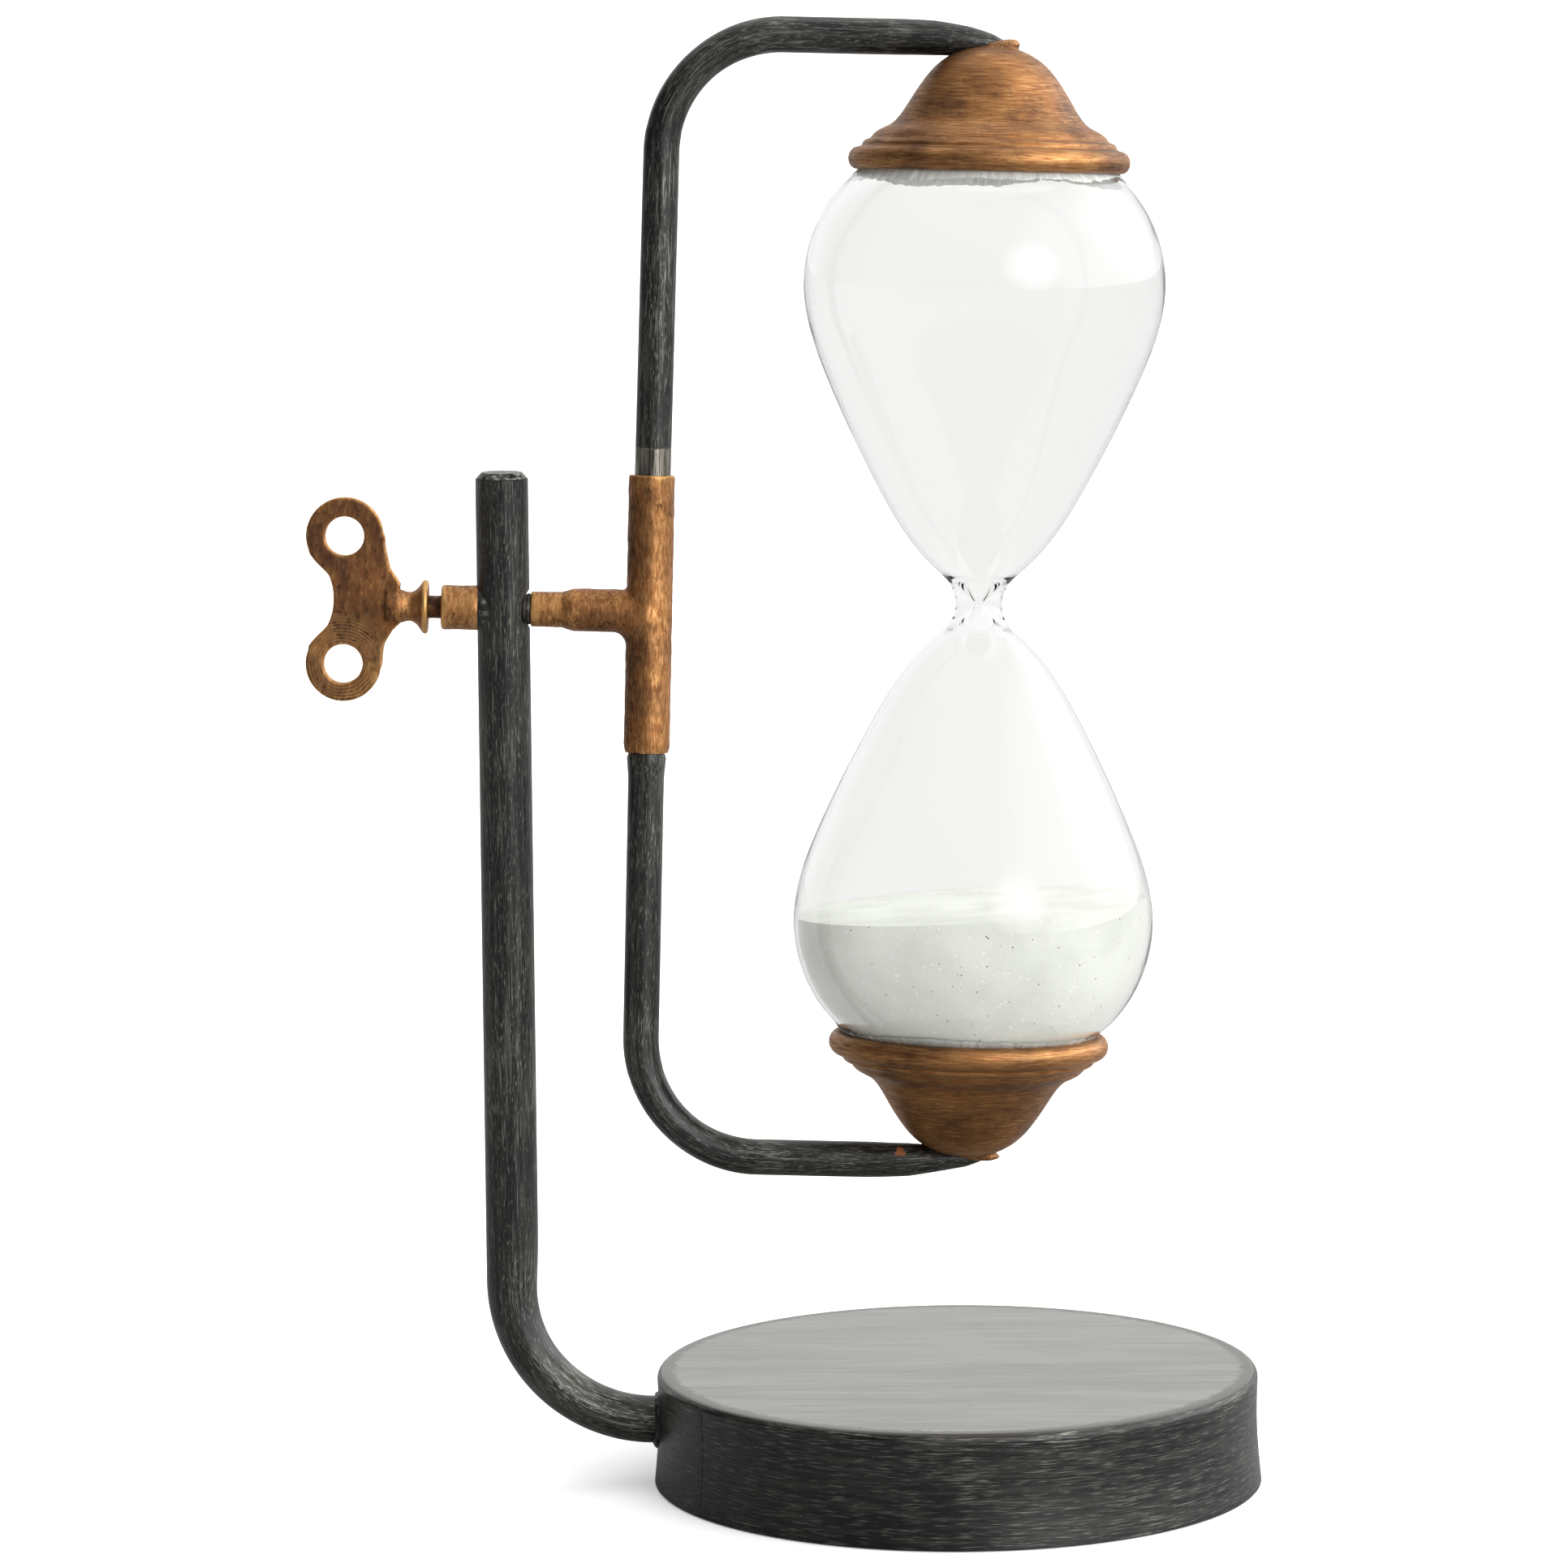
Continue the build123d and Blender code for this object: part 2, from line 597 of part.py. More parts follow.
with BuildPart() as upper_arm:
    add(bent_rod(UPPER_ROD_Z, FIT_GAP, UPPER_ROD_SHIFT, UPPER_TAPER, 1))
    add(upper_bell_outline.part, mode=Mode.SUBTRACT)
save(upper_arm.part, "upper_arm")

with BuildPart() as lower_arm:
    add(bent_rod(LOWER_ROD_Z, -FIT_GAP, 0, LOWER_TAPER, -1))
    with BuildSketch(level(TEE_BOTTOM - FIT_GAP, TEE_X)):
        Circle(SOLDER_R)
    with BuildSketch(level(TEE_BOTTOM - SOLDER_L, TEE_X)):
        Circle(ROD_R)
    loft()
    add(lower_bell_outline.part, mode=Mode.SUBTRACT)
save(lower_arm.part, "lower_arm")

with BuildPart() as upper_braze:
    add(braze(UPPER_TAPER[-1], 1))
    add(upper_bell_outline.part, mode=Mode.SUBTRACT)
save(upper_braze.part, "upper_braze")

with BuildPart() as lower_braze:
    add(braze(LOWER_TAPER[-1], -1))
    add(lower_bell_outline.part, mode=Mode.SUBTRACT)
save(lower_braze.part, "lower_braze")

# ---- glass --------------------------------------------------------------------------------------------------
cone_slope = (CONE_END[0] - CONE_START[0], CONE_END[1] - CONE_START[1])


def half_bulb(side, inset, neck_r):
    """Half section of one bulb in the front plane; inset pulls it in by the wall's thickness."""

    def at(radius, distance):
        return (GLASS_X + radius, NECK_Z + side * distance)

    start = at(max(CONE_START[0] - NECK_INSET * inset, neck_r), CONE_START[1])
    end = at(CONE_END[0] - CONE_INSET * inset, CONE_END[1])
    flank = at(BULB_FLANK[0] - FLANK_INSET * inset, BULB_FLANK[1])
    widest = at(BULB_R - inset, BULB_WIDEST)
    shoulder = at(*(edge - share * inset for edge, share in zip(BULB_SHOULDER, SHOULDER_INSET)))
    slope = (cone_slope[0], side * cone_slope[1])
    mouth = at(*(edge - share * inset for edge, share in zip(BULB_MOUTH, MOUTH_INSET)))
    with BuildSketch(front) as section:
        with BuildLine():
            Line(at(0, 0), at(neck_r, 0))
            Spline(at(neck_r, 0), start, end, tangents=[(0, side), slope])
            Spline(end, flank, widest, tangents=[slope, (0, side)])
            Spline(widest, shoulder, mouth, at(0, BULB_CROWN - inset), tangents=[(0, side), (-1, 0)])
            Line(at(0, BULB_CROWN - inset), at(0, 0))
        make_face()
    return section.sketch


crown_z = NECK_Z + BULB_CROWN
with BuildPart() as glass_outline:
    revolve(half_bulb(1, 0, NECK_R), axis=glass_axis)
    revolve(half_bulb(-1, 0, NECK_R), axis=glass_axis)

with BuildPart() as glass_bulb:
    add(glass_outline.part)
    revolve(half_bulb(1, GLASS_WALL, NECK_BORE_R), axis=glass_axis, mode=Mode.SUBTRACT)
    revolve(half_bulb(-1, GLASS_WALL, NECK_BORE_R), axis=glass_axis, mode=Mode.SUBTRACT)
    with BuildSketch(level(crown_z - 3 * GLASS_WALL)):
        Circle(FILL_HOLE_R)
    extrude(amount=5 * GLASS_WALL, mode=Mode.SUBTRACT)
save(glass_bulb.part, "glass_bulb")

with BuildPart() as fill_plug:
    with BuildSketch(level(crown_z - PLUG_CORK_T + PLUG_CORK_PROUD)):
        Circle(PLUG_CORK_R)
    extrude(amount=PLUG_CORK_T)
save(fill_plug.part, "fill_plug")

sand_top = level(NECK_Z + SAND_LEVEL).rotated((0, -SAND_TILT, 0))
with BuildPart() as sand:
    revolve(half_bulb(-1, GLASS_WALL + SAND_GAP, NECK_BORE_R - SAND_GAP), axis=glass_axis)
    with BuildSketch(sand_top):
        Rectangle(OVERSIZE, OVERSIZE)
    extrude(amount=OVERSIZE, mode=Mode.SUBTRACT)
save(sand.part, "sand")


# Cork discs cushion the glass inside the bells, and clear adhesive closes the mouths.
def liner(crown, side):
    """Cork disc resting on the glass crown."""
    with BuildPart() as disc:
        with BuildSketch(level(crown + side * LINER_GAP)):
            Circle(LINER_R)
        extrude(amount=side * LINER_T)
    return disc.part


def glue_ring(mouth_z, side):
    """Ring of adhesive between the glass and the bell's mouth."""
    with BuildPart() as ring:
        with BuildSketch(level(mouth_z - side * GLUE_PROUD)):
            Circle(BELL_MOUTH_R - FIT_GAP)
            Circle(BELL_MOUTH_R - GLUE_W, mode=Mode.SUBTRACT)
        extrude(amount=side * GLUE_H)
        add(glass_outline.part, mode=Mode.SUBTRACT)
    return ring.part


save(liner(crown_z, 1), "upper_liner")
save(liner(NECK_Z - BULB_CROWN, -1), "lower_liner")
save(glue_ring(UPPER_MOUTH_Z, 1), "upper_glue_ring")
save(glue_ring(LOWER_MOUTH_Z, -1), "lower_glue_ring")
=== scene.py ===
# %% [markdown]
# # A revolving hourglass, built round its frame
#
# A round iron foot carries a bent upright. Near the top of the upright a small cross pivot holds a
# C of bent rod, and the blown glass hangs between two spun brass bells. The key on the left turns
# the whole C over, so that the sand runs back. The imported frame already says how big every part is
# and what turns with what, so it is loaded first, and every piece below is built in its place, in
# metres.

# %% Load the frame
import json
from math import cos, pi, radians, sin, tau

import bmesh
import bpy
import numpy as np
from mathutils import Matrix, Vector, noise


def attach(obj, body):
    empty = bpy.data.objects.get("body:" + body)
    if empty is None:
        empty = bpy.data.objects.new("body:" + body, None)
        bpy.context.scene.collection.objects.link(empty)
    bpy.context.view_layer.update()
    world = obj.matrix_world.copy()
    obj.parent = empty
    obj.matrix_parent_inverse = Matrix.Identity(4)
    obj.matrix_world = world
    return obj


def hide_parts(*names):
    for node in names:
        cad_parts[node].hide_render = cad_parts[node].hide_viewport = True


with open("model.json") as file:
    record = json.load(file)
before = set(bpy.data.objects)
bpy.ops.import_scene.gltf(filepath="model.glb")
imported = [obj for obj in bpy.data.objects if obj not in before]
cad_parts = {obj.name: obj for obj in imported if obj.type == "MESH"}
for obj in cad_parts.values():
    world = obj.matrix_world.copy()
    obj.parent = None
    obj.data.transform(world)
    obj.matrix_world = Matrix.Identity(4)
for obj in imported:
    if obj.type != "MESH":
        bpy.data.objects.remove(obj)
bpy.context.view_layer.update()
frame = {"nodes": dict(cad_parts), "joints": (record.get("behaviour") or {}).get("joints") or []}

# %% [markdown]
# ## The two benches
#
# The foot and the upright stand straight on the table, so their pieces are built in the frame's own
# axes. The parts that turn are parked a little crooked: the spindle droops on the glass side and
# the top of the glass leans back. It is far easier to turn a bell or bend a rod on a bench of its
# own, with the spindle along X and the glass along Z, and to carry the finished piece over with one
# matrix.

# %% The carrier's bench
MM = 0.001
LEAN = radians(3)
joint = frame["joints"][0]
PIVOT = Vector(joint["pos_m"])
spindle_way = Vector(joint["axis"]).normalized()
level_way = Vector((0, 1, 0))
up_way = spindle_way.cross(level_way)
back_way = level_way * cos(LEAN) - up_way * sin(LEAN)
glass_way = level_way * sin(LEAN) + up_way * cos(LEAN)
CARRIER = Matrix((spindle_way, back_way, glass_way)).transposed().to_4x4()
CARRIER.translation = PIVOT
SPINDLE = CARRIER @ Matrix(((0, 0, 1, 0), (1, 0, 0, 0), (0, 1, 0, 0), (0, 0, 0, 1)))


def span(node, bench=Matrix()):
    """Lowest and highest corner of a frame node, measured along the axes of a bench."""
    home = bench.inverted()
    points = np.array([home @ v.co for v in frame["nodes"][node].data.vertices])
    return points.min(0), points.max(0)


print("pivot at", tuple(round(v / MM, 1) for v in PIVOT), "mm")

# %% [markdown]
# ## Skins, turnings and sweeps
#
# Most of the pieces are one closed skin over a stack of rings: a rod is rings along a line, a bell
# is rings up an axis. Rings give full control of where the mesh is fine, which a modifier stack
# would not. Each point also keeps a *grain*: where it would lie if the piece were unbent, so that
# brush marks and scratches can follow a rod round its bend or run around a bell. A second value
# says how much the paint is rubbed there; on the tee it also carries a painted highlight.

# %% Skin over rings
CREASE = radians(38)


def finish_mesh(name, points, faces, grain, wear_and_highlight, bench):
    """Make the object: faces outward, smooth with creases, and both attributes for the finishes."""
    mesh = bpy.data.meshes.new(name)
    mesh.from_pydata([tuple(p) for p in points], [], [tuple(f) for f in faces])
    mesh.update()
    marks = mesh.attributes.new("grain", "FLOAT_VECTOR", "POINT")
    marks.data.foreach_set("vector", np.asarray(grain, np.float32).ravel())
    rubbing_and_highlight = mesh.attributes.new("wear_and_highlight", "FLOAT", "POINT")
    rubbing_and_highlight.data.foreach_set("value", np.broadcast_to(np.asarray(wear_and_highlight, np.float32), len(points)).copy())
    shell = bmesh.new()
    shell.from_mesh(mesh)
    bmesh.ops.recalc_face_normals(shell, faces=shell.faces)
    shell.to_mesh(mesh)
    shell.free()
    mesh.shade_smooth()
    mesh.set_sharp_from_angle(angle=CREASE)
    mesh.transform(bench)
    piece = bpy.data.objects.new(name, mesh)
    bpy.context.scene.collection.objects.link(piece)
    return piece


def skin(name, rings, grain, wear_and_highlight=0.0, bench=Matrix(), loop=False):
    """Closed mesh over rings of equal count. Its ends are capped, or joined to each other as a loop."""
    rings = np.asarray(rings, float)
    stations, around = rings.shape[:2]
    index = np.arange(stations * around).reshape(stations, around)
    if loop:
        index = np.vstack([index, index[:1]])
    beside = np.roll(index, -1, axis=1)
    quads = np.stack([index[:-1], beside[:-1], beside[1:], index[1:]], axis=-1).reshape(-1, 4)
    faces = quads.tolist()
    if not loop:
        faces += [index[0][::-1].tolist(), index[-1].tolist()]
    if np.ndim(wear_and_highlight) == 1:
        wear_and_highlight = np.asarray(wear_and_highlight, float).reshape(-1, 1)
    wear_and_highlight = np.broadcast_to(wear_and_highlight, (stations, around)).ravel()
    return finish_mesh(name, rings.reshape(-1, 3), faces, np.asarray(grain).reshape(-1, 3), wear_and_highlight, bench)


# %% [markdown]
# A rod's bend or a bell's cove is given by a few knots and a smooth line through them: the line that
# a thin batten takes when it is pinned at the knots. Blender's own curves could do the same, but here
# the points are needed as numbers, to build rings on them.

# %% Smooth lines and arcs
def curve_through(points, start=None, end=None, step=0.4 * MM):
    """Smooth line through a few points, the way a bent batten takes it, with optional end directions."""
    knots = np.asarray(points, float)
    chord = np.linalg.norm(np.diff(knots, axis=0), axis=1)
    count = len(knots)
    system = np.zeros((count, count))
    right = np.zeros_like(knots)
    for i in range(1, count - 1):
        before, after = chord[i - 1], chord[i]
        system[i, i - 1 : i + 2] = after, 2 * (before + after), before
        behind, ahead = knots[i] - knots[i - 1], knots[i + 1] - knots[i]
        right[i] = 3 * (after * behind / before + before * ahead / after)
    for row, side, way in ((0, 1, start), (-1, -2, end)):
        if way is None:
            system[row, row] = 2
            system[row, side] = 1
            run = (knots[side] - knots[row]) / (chord[0] if row == 0 else -chord[-1])
            right[row] = 3 * run
        else:
            system[row, row] = 1
            right[row] = np.asarray(way, float) / np.linalg.norm(way)
    slope = np.linalg.solve(system, right)
    line = []
    for i in range(count - 1):
        pieces = max(2, int(np.ceil(chord[i] / step)))
        t = np.linspace(0, 1, pieces, endpoint=False)[:, None]
        line.append(
            (2 * t**3 - 3 * t**2 + 1) * knots[i]
            + (t**3 - 2 * t**2 + t) * chord[i] * slope[i]
            + (3 * t**2 - 2 * t**3) * knots[i + 1]
            + (t**3 - t**2) * chord[i] * slope[i + 1]
        )
    return np.vstack([*line, knots[-1:]])


def arc(centre, radius, first, last, count=8):
    """Points on a round, angles in degrees, in an outline's own (radius, height)."""
    turn = np.radians(np.linspace(first, last, count))
    return np.column_stack([centre[0] + radius * np.cos(turn), centre[1] + radius * np.sin(turn)])


def run_length(line):
    """Distance along a line at each of its points."""
    return np.concatenate([[0], np.cumsum(np.linalg.norm(np.diff(line, axis=0), axis=1))])


# %% [markdown]
# With lines in hand, a lathe and a sweep are short. The lathe takes an outline of radius and height,
# the sweep a centre line with a half width and a half height at each of its points.

# %% Lathe and sweep
def lathe(name, outline, bench, segments=160, wear_and_highlight=0.0, loop=False, uneven=0.0, seed=0.0):
    """Turn an outline of (radius, height) about the bench's Z. uneven is how far hand work strays."""
    outline = np.asarray(outline, float)
    turn = np.linspace(0, tau, segments, endpoint=False)
    along = run_length(outline)
    rings, grain = [], []
    for (radius, height), s in zip(outline, along):
        push = np.zeros(segments)
        if uneven:
            push = np.array(
                [noise.noise(Vector((1.3 * cos(a), 1.3 * sin(a), height / (12 * MM) + seed))) for a in turn]
            )
        r = np.maximum(radius + uneven * push * min(1.0, radius / (8 * MM)), 0.01 * MM)
        rings.append(np.column_stack([r * np.cos(turn), r * np.sin(turn), np.full(segments, height)]))
        grain.append(np.column_stack([np.full(segments, s), radius * np.cos(turn), radius * np.sin(turn)]))
    return skin(name, rings, grain, wear_and_highlight, bench, loop)


def sweep(name, line, radii, bench, segments=56, wear_and_highlight=0.0, phase=0.0):
    """Rod along a line in the bench's XZ plane. radii holds half width (Y) and half height."""
    line = np.asarray(line, float)
    way = np.gradient(line, axis=0)
    way /= np.linalg.norm(way, axis=1)[:, None]
    along = run_length(line)
    turn = np.linspace(0, tau, segments, endpoint=False)
    rings, grain = [], []
    for (x, z), (tx, tz), (wide, high), s in zip(line, way, radii, along):
        side, rise = wide * np.cos(turn), high * np.sin(turn)
        rings.append(np.column_stack([x - tz * rise, side, z + tx * rise]))
        grain.append(np.column_stack([side, rise, np.full(segments, s + phase)]))
    return skin(name, rings, grain, wear_and_highlight, bench)


# %% [markdown]
# ## Cast and filed shapes
#
# A tee cast with a soft fillet, a filed plate and a lump of braze have no rings to stack. They are
# described by how deep each point in space lies under their surface, which makes a fillet or a
# rounded edge one short line, and a net of quads is then drawn tight over the zero level. A Boolean
# with a bevel could do the tee, but its edges tear where the round walls meet.

# %% Net over a depth field
def grow(name, depth, low, high, cell, bench, wear_and_highlight=None, lumps=0.0, lump_size=1.5 * MM):
    """Closed mesh where depth(points) is zero, with quads about one cell wide."""
    low, high = np.asarray(low, float), np.asarray(high, float)
    counts = np.ceil((high - low) / cell).astype(int) + 1
    axes = [low[i] + cell * np.arange(counts[i]) for i in range(3)]
    grid = np.stack(np.meshgrid(*axes, indexing="ij"), axis=-1)
    inside = (depth(grid.reshape(-1, 3)) < 0).reshape(counts)
    corners = sum(
        inside[a : counts[0] - 1 + a, b : counts[1] - 1 + b, c : counts[2] - 1 + c].astype(int)
        for a in (0, 1) for b in (0, 1) for c in (0, 1)
    )
    crossed = (corners > 0) & (corners < 8)
    number = np.full(crossed.shape, -1)
    number[crossed] = np.arange(crossed.sum())
    points = low + cell * (np.argwhere(crossed) + 0.5)
    faces = []
    for axis in range(3):
        one, two = (axis + 1) % 3, (axis + 2) % 3
        first = inside.take(range(counts[axis] - 1), axis=axis)
        second = inside.take(range(1, counts[axis]), axis=axis)
        edge = np.argwhere(first != second)
        edge = edge[(edge[:, one] > 0) & (edge[:, two] > 0)]
        edge = edge[(edge[:, one] < counts[one] - 1) & (edge[:, two] < counts[two] - 1)]
        back_one, back_two = np.eye(3, dtype=int)[one], np.eye(3, dtype=int)[two]
        around = [edge - back_one - back_two, edge - back_two, edge, edge - back_one]
        faces.append(np.column_stack([number[tuple(c.T)] for c in around]))
    small = 0.02 * MM
    for _ in range(6):
        here = depth(points)
        slope = np.column_stack([(depth(points + small * e) - here) / small for e in np.eye(3)])
        points = points - (here / np.maximum((slope**2).sum(1), 0.2))[:, None] * slope
    if lumps:
        push = np.array([noise.noise(Vector(p) / lump_size) for p in points])
        points = points + lumps * push[:, None] * slope
    rubbing_and_highlight = np.zeros(len(points)) if wear_and_highlight is None else wear_and_highlight(points)
    return finish_mesh(name, points, np.vstack(faces).tolist(), points, rubbing_and_highlight, bench)


# %% [markdown]
# The shapes themselves are short sums. A bar is a distance from an axis, a blob a distance from a
# point, and a join rounds the corner between two shapes like a fillet of weld.

# %% Bars, blobs and fillets
def bar(p, centre, axis, radius, first, last, rounding):
    """Depth under a round bar along one axis of the bench, with rounded ends."""
    others = [i for i in range(3) if i != axis]
    middle, half = (first + last) / 2, (last - first) / 2
    a = np.linalg.norm(p[:, others] - np.asarray(centre)[others], axis=1) - radius + rounding
    b = np.abs(p[:, axis] - middle) - half + rounding
    return np.hypot(np.maximum(a, 0), np.maximum(b, 0)) + np.minimum(np.maximum(a, b), 0) - rounding


def join(a, b, fillet):
    """Depth of two shapes joined with a fillet of that radius."""
    rounding = np.hypot(np.maximum(fillet - a, 0), np.maximum(fillet - b, 0))
    return np.maximum(fillet, np.minimum(a, b)) - rounding


def blob(p, centre, half):
    """Depth under a rounded lump with these half sizes."""
    reach = (p - np.asarray(centre)) / np.asarray(half)
    return (np.linalg.norm(reach, axis=1) - 1) * np.min(half)


# %% [markdown]
# Two more helpers serve every piece. One cuts closed shapes out of it, the other paints it and says
# what it rides on and which of the frame's own nodes it stands for.

# %% Cut and fit
def cut_away(piece, *tools):
    """Cut closed shapes out of a piece, then throw the cutting tools away."""
    for tool in tools:
        modifier = piece.modifiers.new("cut", "BOOLEAN")
        modifier.operation = "DIFFERENCE"
        modifier.object = tool
        modifier.solver = "EXACT"
        with bpy.context.temp_override(object=piece, active_object=piece):
            bpy.ops.object.modifier_apply(modifier=modifier.name)
        bpy.data.objects.remove(tool)
    piece.data.set_sharp_from_angle(angle=CREASE)
    return piece


def fit(piece, body, slot, material, *nodes):
    """Paint the piece, let it ride on its body and stand for the frame's own nodes."""
    piece.data.materials.clear()
    piece.data.materials.append(material)
    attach(piece, body)
    if nodes:
        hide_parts(*nodes)
    print(f"{piece.name}: {len(piece.data.polygons)} faces")
    return piece


# %% [markdown]
# ## Mixing the finishes
#
# Every finish is a recipe of noise, masks and colours. Written as nodes in Python it soon becomes
# unreadable, so a small class wraps a socket and lets a sum be written as a sum. `Finish` holds one
# material's node tree and the single method that adds any other node.

# %% Shader arithmetic
class Value:
    """A number on its way through a finish. Arithmetic on it adds Math nodes."""

    def __init__(self, finish, socket):
        self.finish, self.socket = finish, socket

    def __add__(self, other):
        return self.finish.math("ADD", self, other)

    def __sub__(self, other):
        return self.finish.math("SUBTRACT", self, other)

    def __rsub__(self, other):
        return self.finish.math("SUBTRACT", other, self)

    def __mul__(self, other):
        return self.finish.math("MULTIPLY", self, other)

    __radd__, __rmul__ = __add__, __mul__


# %% [markdown]
# `Finish` holds one material's node tree. Its `node` method adds any node, and the others are short
# names for the handful that every recipe uses.

# %% The finish and its nodes
def tone(code, strength=1.0):
    """A paint chart's hex code as the linear colour that a shader wants."""
    parts = [int(code[i : i + 2], 16) / 255 for i in (1, 3, 5)]
    linear = [p / 12.92 if p <= 0.04045 else ((p + 0.055) / 1.055) ** 2.4 for p in parts]
    return (*[v * strength for v in linear], 1.0)


class Finish:
    """One material and its node tree."""

    def __init__(self, name):
        self.material = bpy.data.materials.new(name)
        self.material.use_nodes = True
        self.tree = self.material.node_tree
        self.tree.nodes.clear()

    @classmethod
    def of(cls, tree):
        """The same tools on a tree that is already there, such as the room's."""
        made = cls.__new__(cls)
        made.tree = tree
        tree.nodes.clear()
        return made

    def node(self, kind, settings=None, inputs=None, output=0):
        made = self.tree.nodes.new(kind)
        for key, value in (settings or {}).items():
            setattr(made, key, value)
        for key, value in (inputs or {}).items():
            if isinstance(value, Value):
                self.tree.links.new(value.socket, made.inputs[key])
            else:
                made.inputs[key].default_value = value
        return Value(self, made.outputs[output])

    def math(self, operation, first, second):
        return self.node("ShaderNodeMath", {"operation": operation}, {0: first, 1: second})

    def mark(self, name, output="Fac"):
        """A value kept on the mesh: its grain, its wear."""
        return self.node("ShaderNodeAttribute", {"attribute_name": name}, output=output)

    def place(self):
        """Where the point lies in the frame, for pieces that keep no grain."""
        return self.node("ShaderNodeTexCoord", output="Object")

    def vectors(self, operation, first, second, output=0):
        return self.node("ShaderNodeVectorMath", {"operation": operation}, {0: first, 1: second}, output)

    def stretch(self, vector, sizes):
        return self.vectors("MULTIPLY", vector, sizes)

    def cloud(self, vector, scale=1.0, detail=4.0, rough=0.55, warp=0.0):
        names = {"Vector": vector, "Scale": scale, "Detail": detail, "Roughness": rough, "Distortion": warp}
        return self.node("ShaderNodeTexNoise", {"noise_dimensions": "3D"}, names)

    def ease(self, value, low, high):
        """0 below low, 1 above high, smooth between."""
        names = {"Value": value, "From Min": low, "From Max": high}
        return self.node("ShaderNodeMapRange", {"interpolation_type": "SMOOTHSTEP"}, names)

    def blend(self, share, first, second):
        """Colour that goes from first to second as share goes from 0 to 1."""
        return self.node("ShaderNodeMix", {"data_type": "RGBA"}, {0: share, 6: first, 7: second}, output=2)

    def bump(self, height, distance, below=None):
        names = {"Height": height, "Distance": distance}
        if below is not None:
            names["Normal"] = below
        return self.node("ShaderNodeBump", {}, names)

    def shade(self, **inputs):
        """Close the recipe with one Principled shader. Names are its sockets, with _ for a space."""
        named = {key.replace("_", " "): value for key, value in inputs.items()}
        return self.close(self.node("ShaderNodeBsdfPrincipled", {}, named))

    def close(self, shader):
        out = self.tree.nodes.new("ShaderNodeOutputMaterial")
        self.tree.links.new(shader.socket, out.inputs["Surface"])
        return self.material


# %% [markdown]
# ## Blackened iron
#
# The rods, the upright and the drum are black paint rubbed back with something silvery: thousands
# of short scratches that run with the metal, thick in some places and nearly gone in others. One
# noise stretched hard along the grain gives the scratches, the same noise turned a little gives
# those that cross them, a wider one gives grey bands, and a soft one says where all of them are
# dense. The *wear* value adds more on the bends and edges. The same scratches raise the surface a
# hair, so they catch the light.

# %% Blackened iron
IRON_ROUGH, IRON_RELIEF, IRON_IOR = 0.28, 0.05 * MM, 1.38
ASKEW = radians(9)


def black_iron(name, stretch, dense=0.0, coordinates="grain", bare=False, chip=None):
    made = Finish(name)
    grain = made.mark("grain", "Vector") if coordinates == "grain" else made.place()
    wear_and_highlight = made.mark("wear_and_highlight")
    long_way = made.stretch(grain, stretch)
    turned = {"Vector": grain, "Angle": ASKEW}
    askew = made.node("ShaderNodeVectorRotate", {"rotation_type": "Y_AXIS"}, turned)
    hair = made.cloud(long_way, 1.0, 2, 0.5)
    cross = made.cloud(made.stretch(askew, stretch), 1.0, 2, 0.5)
    streak = made.cloud(long_way, 0.3, 3, 0.55)
    patch = made.cloud(grain, 60.0, 3, 0.5)
    drift = made.cloud(grain, 16.0, 2, 0.5)
    fleck = made.cloud(grain, 1500.0, 2, 0.5)
    rubbed = made.ease(patch * 0.55 + drift * 0.45 + wear_and_highlight * 0.3 + dense, 0.40, 0.68)
    either = made.math("MAXIMUM", hair, cross)
    scratch = made.ease(either + rubbed * 0.05, 0.56, 0.80) * (rubbed * 0.5 + 0.4)
    band = made.ease(streak + rubbed * 0.06, 0.42, 0.72) * (rubbed * 0.6 + 0.4)
    spark = made.ease(fleck, 0.74, 0.80) * 0.4
    ground = made.blend(made.ease(drift, 0.35, 0.7), tone("#08090b"), tone("#121211"))
    toned = made.blend(band * 0.6, ground, tone("#58574f"))
    marked = made.blend(scratch * 0.55, toned, tone("#c0beb4"))
    colour = made.blend(spark, marked, tone("#a09e94"))
    rough = made.ease(streak, 0.2, 0.8) * 0.16 + IRON_ROUGH - scratch * 0.06
    metal = scratch * 0.9 + band * 0.75
    height = hair * 0.6 + streak * 0.4 + scratch * 0.5
    if bare:
        ragged = made.cloud(made.stretch(grain, (700, 700, 180)), 1.0, 4, 0.6)
        steel = made.blend(made.ease(hair, 0.35, 0.65), tone("#45423d"), tone("#948e85"))
        unpainted = made.ease(made.mark("bare") + (ragged - 0.5) * 0.7, 0.42, 0.58)
        colour = made.blend(unpainted, colour, steel)
        rough = rough - unpainted * 0.1
        metal = metal + unpainted * 0.9
        height = height - unpainted * 0.8
    if chip is not None:
        edge = made.cloud(grain, 900.0, 3, 0.6)
        far = made.vectors("DISTANCE", grain, chip, "Value")
        chipped = 1 - made.ease(far + (edge - 0.5) * (3 * MM), 0.9 * MM, 1.2 * MM)
        colour = made.blend(chipped, colour, tone("#8f5638"))
        height = height - chipped * 0.8
    rise = made.bump(height, IRON_RELIEF)
    return made.shade(Base_Color=colour, Roughness=rough, Metallic=metal, Normal=rise, IOR=IRON_IOR)


ROD_GRAIN = (3600, 3600, 130)
TURNED_GRAIN = (3200, 200, 200)
iron_rod = black_iron("black_iron_rod", ROD_GRAIN)
iron_drum = black_iron("black_iron_drum", (3600, 170, 3600), dense=-0.1)

# %% [markdown]
# The top of the foot is the one flat face, and it was waxed: looked at from a low angle it mirrors
# the pale room and turns grey, and its base colour is a painted sheen, far lighter than the side.
# Faint lines from the last rub run across it, and round its edge the wax is worn to brown.

# %% Waxed iron
WAX_IOR = 1.9


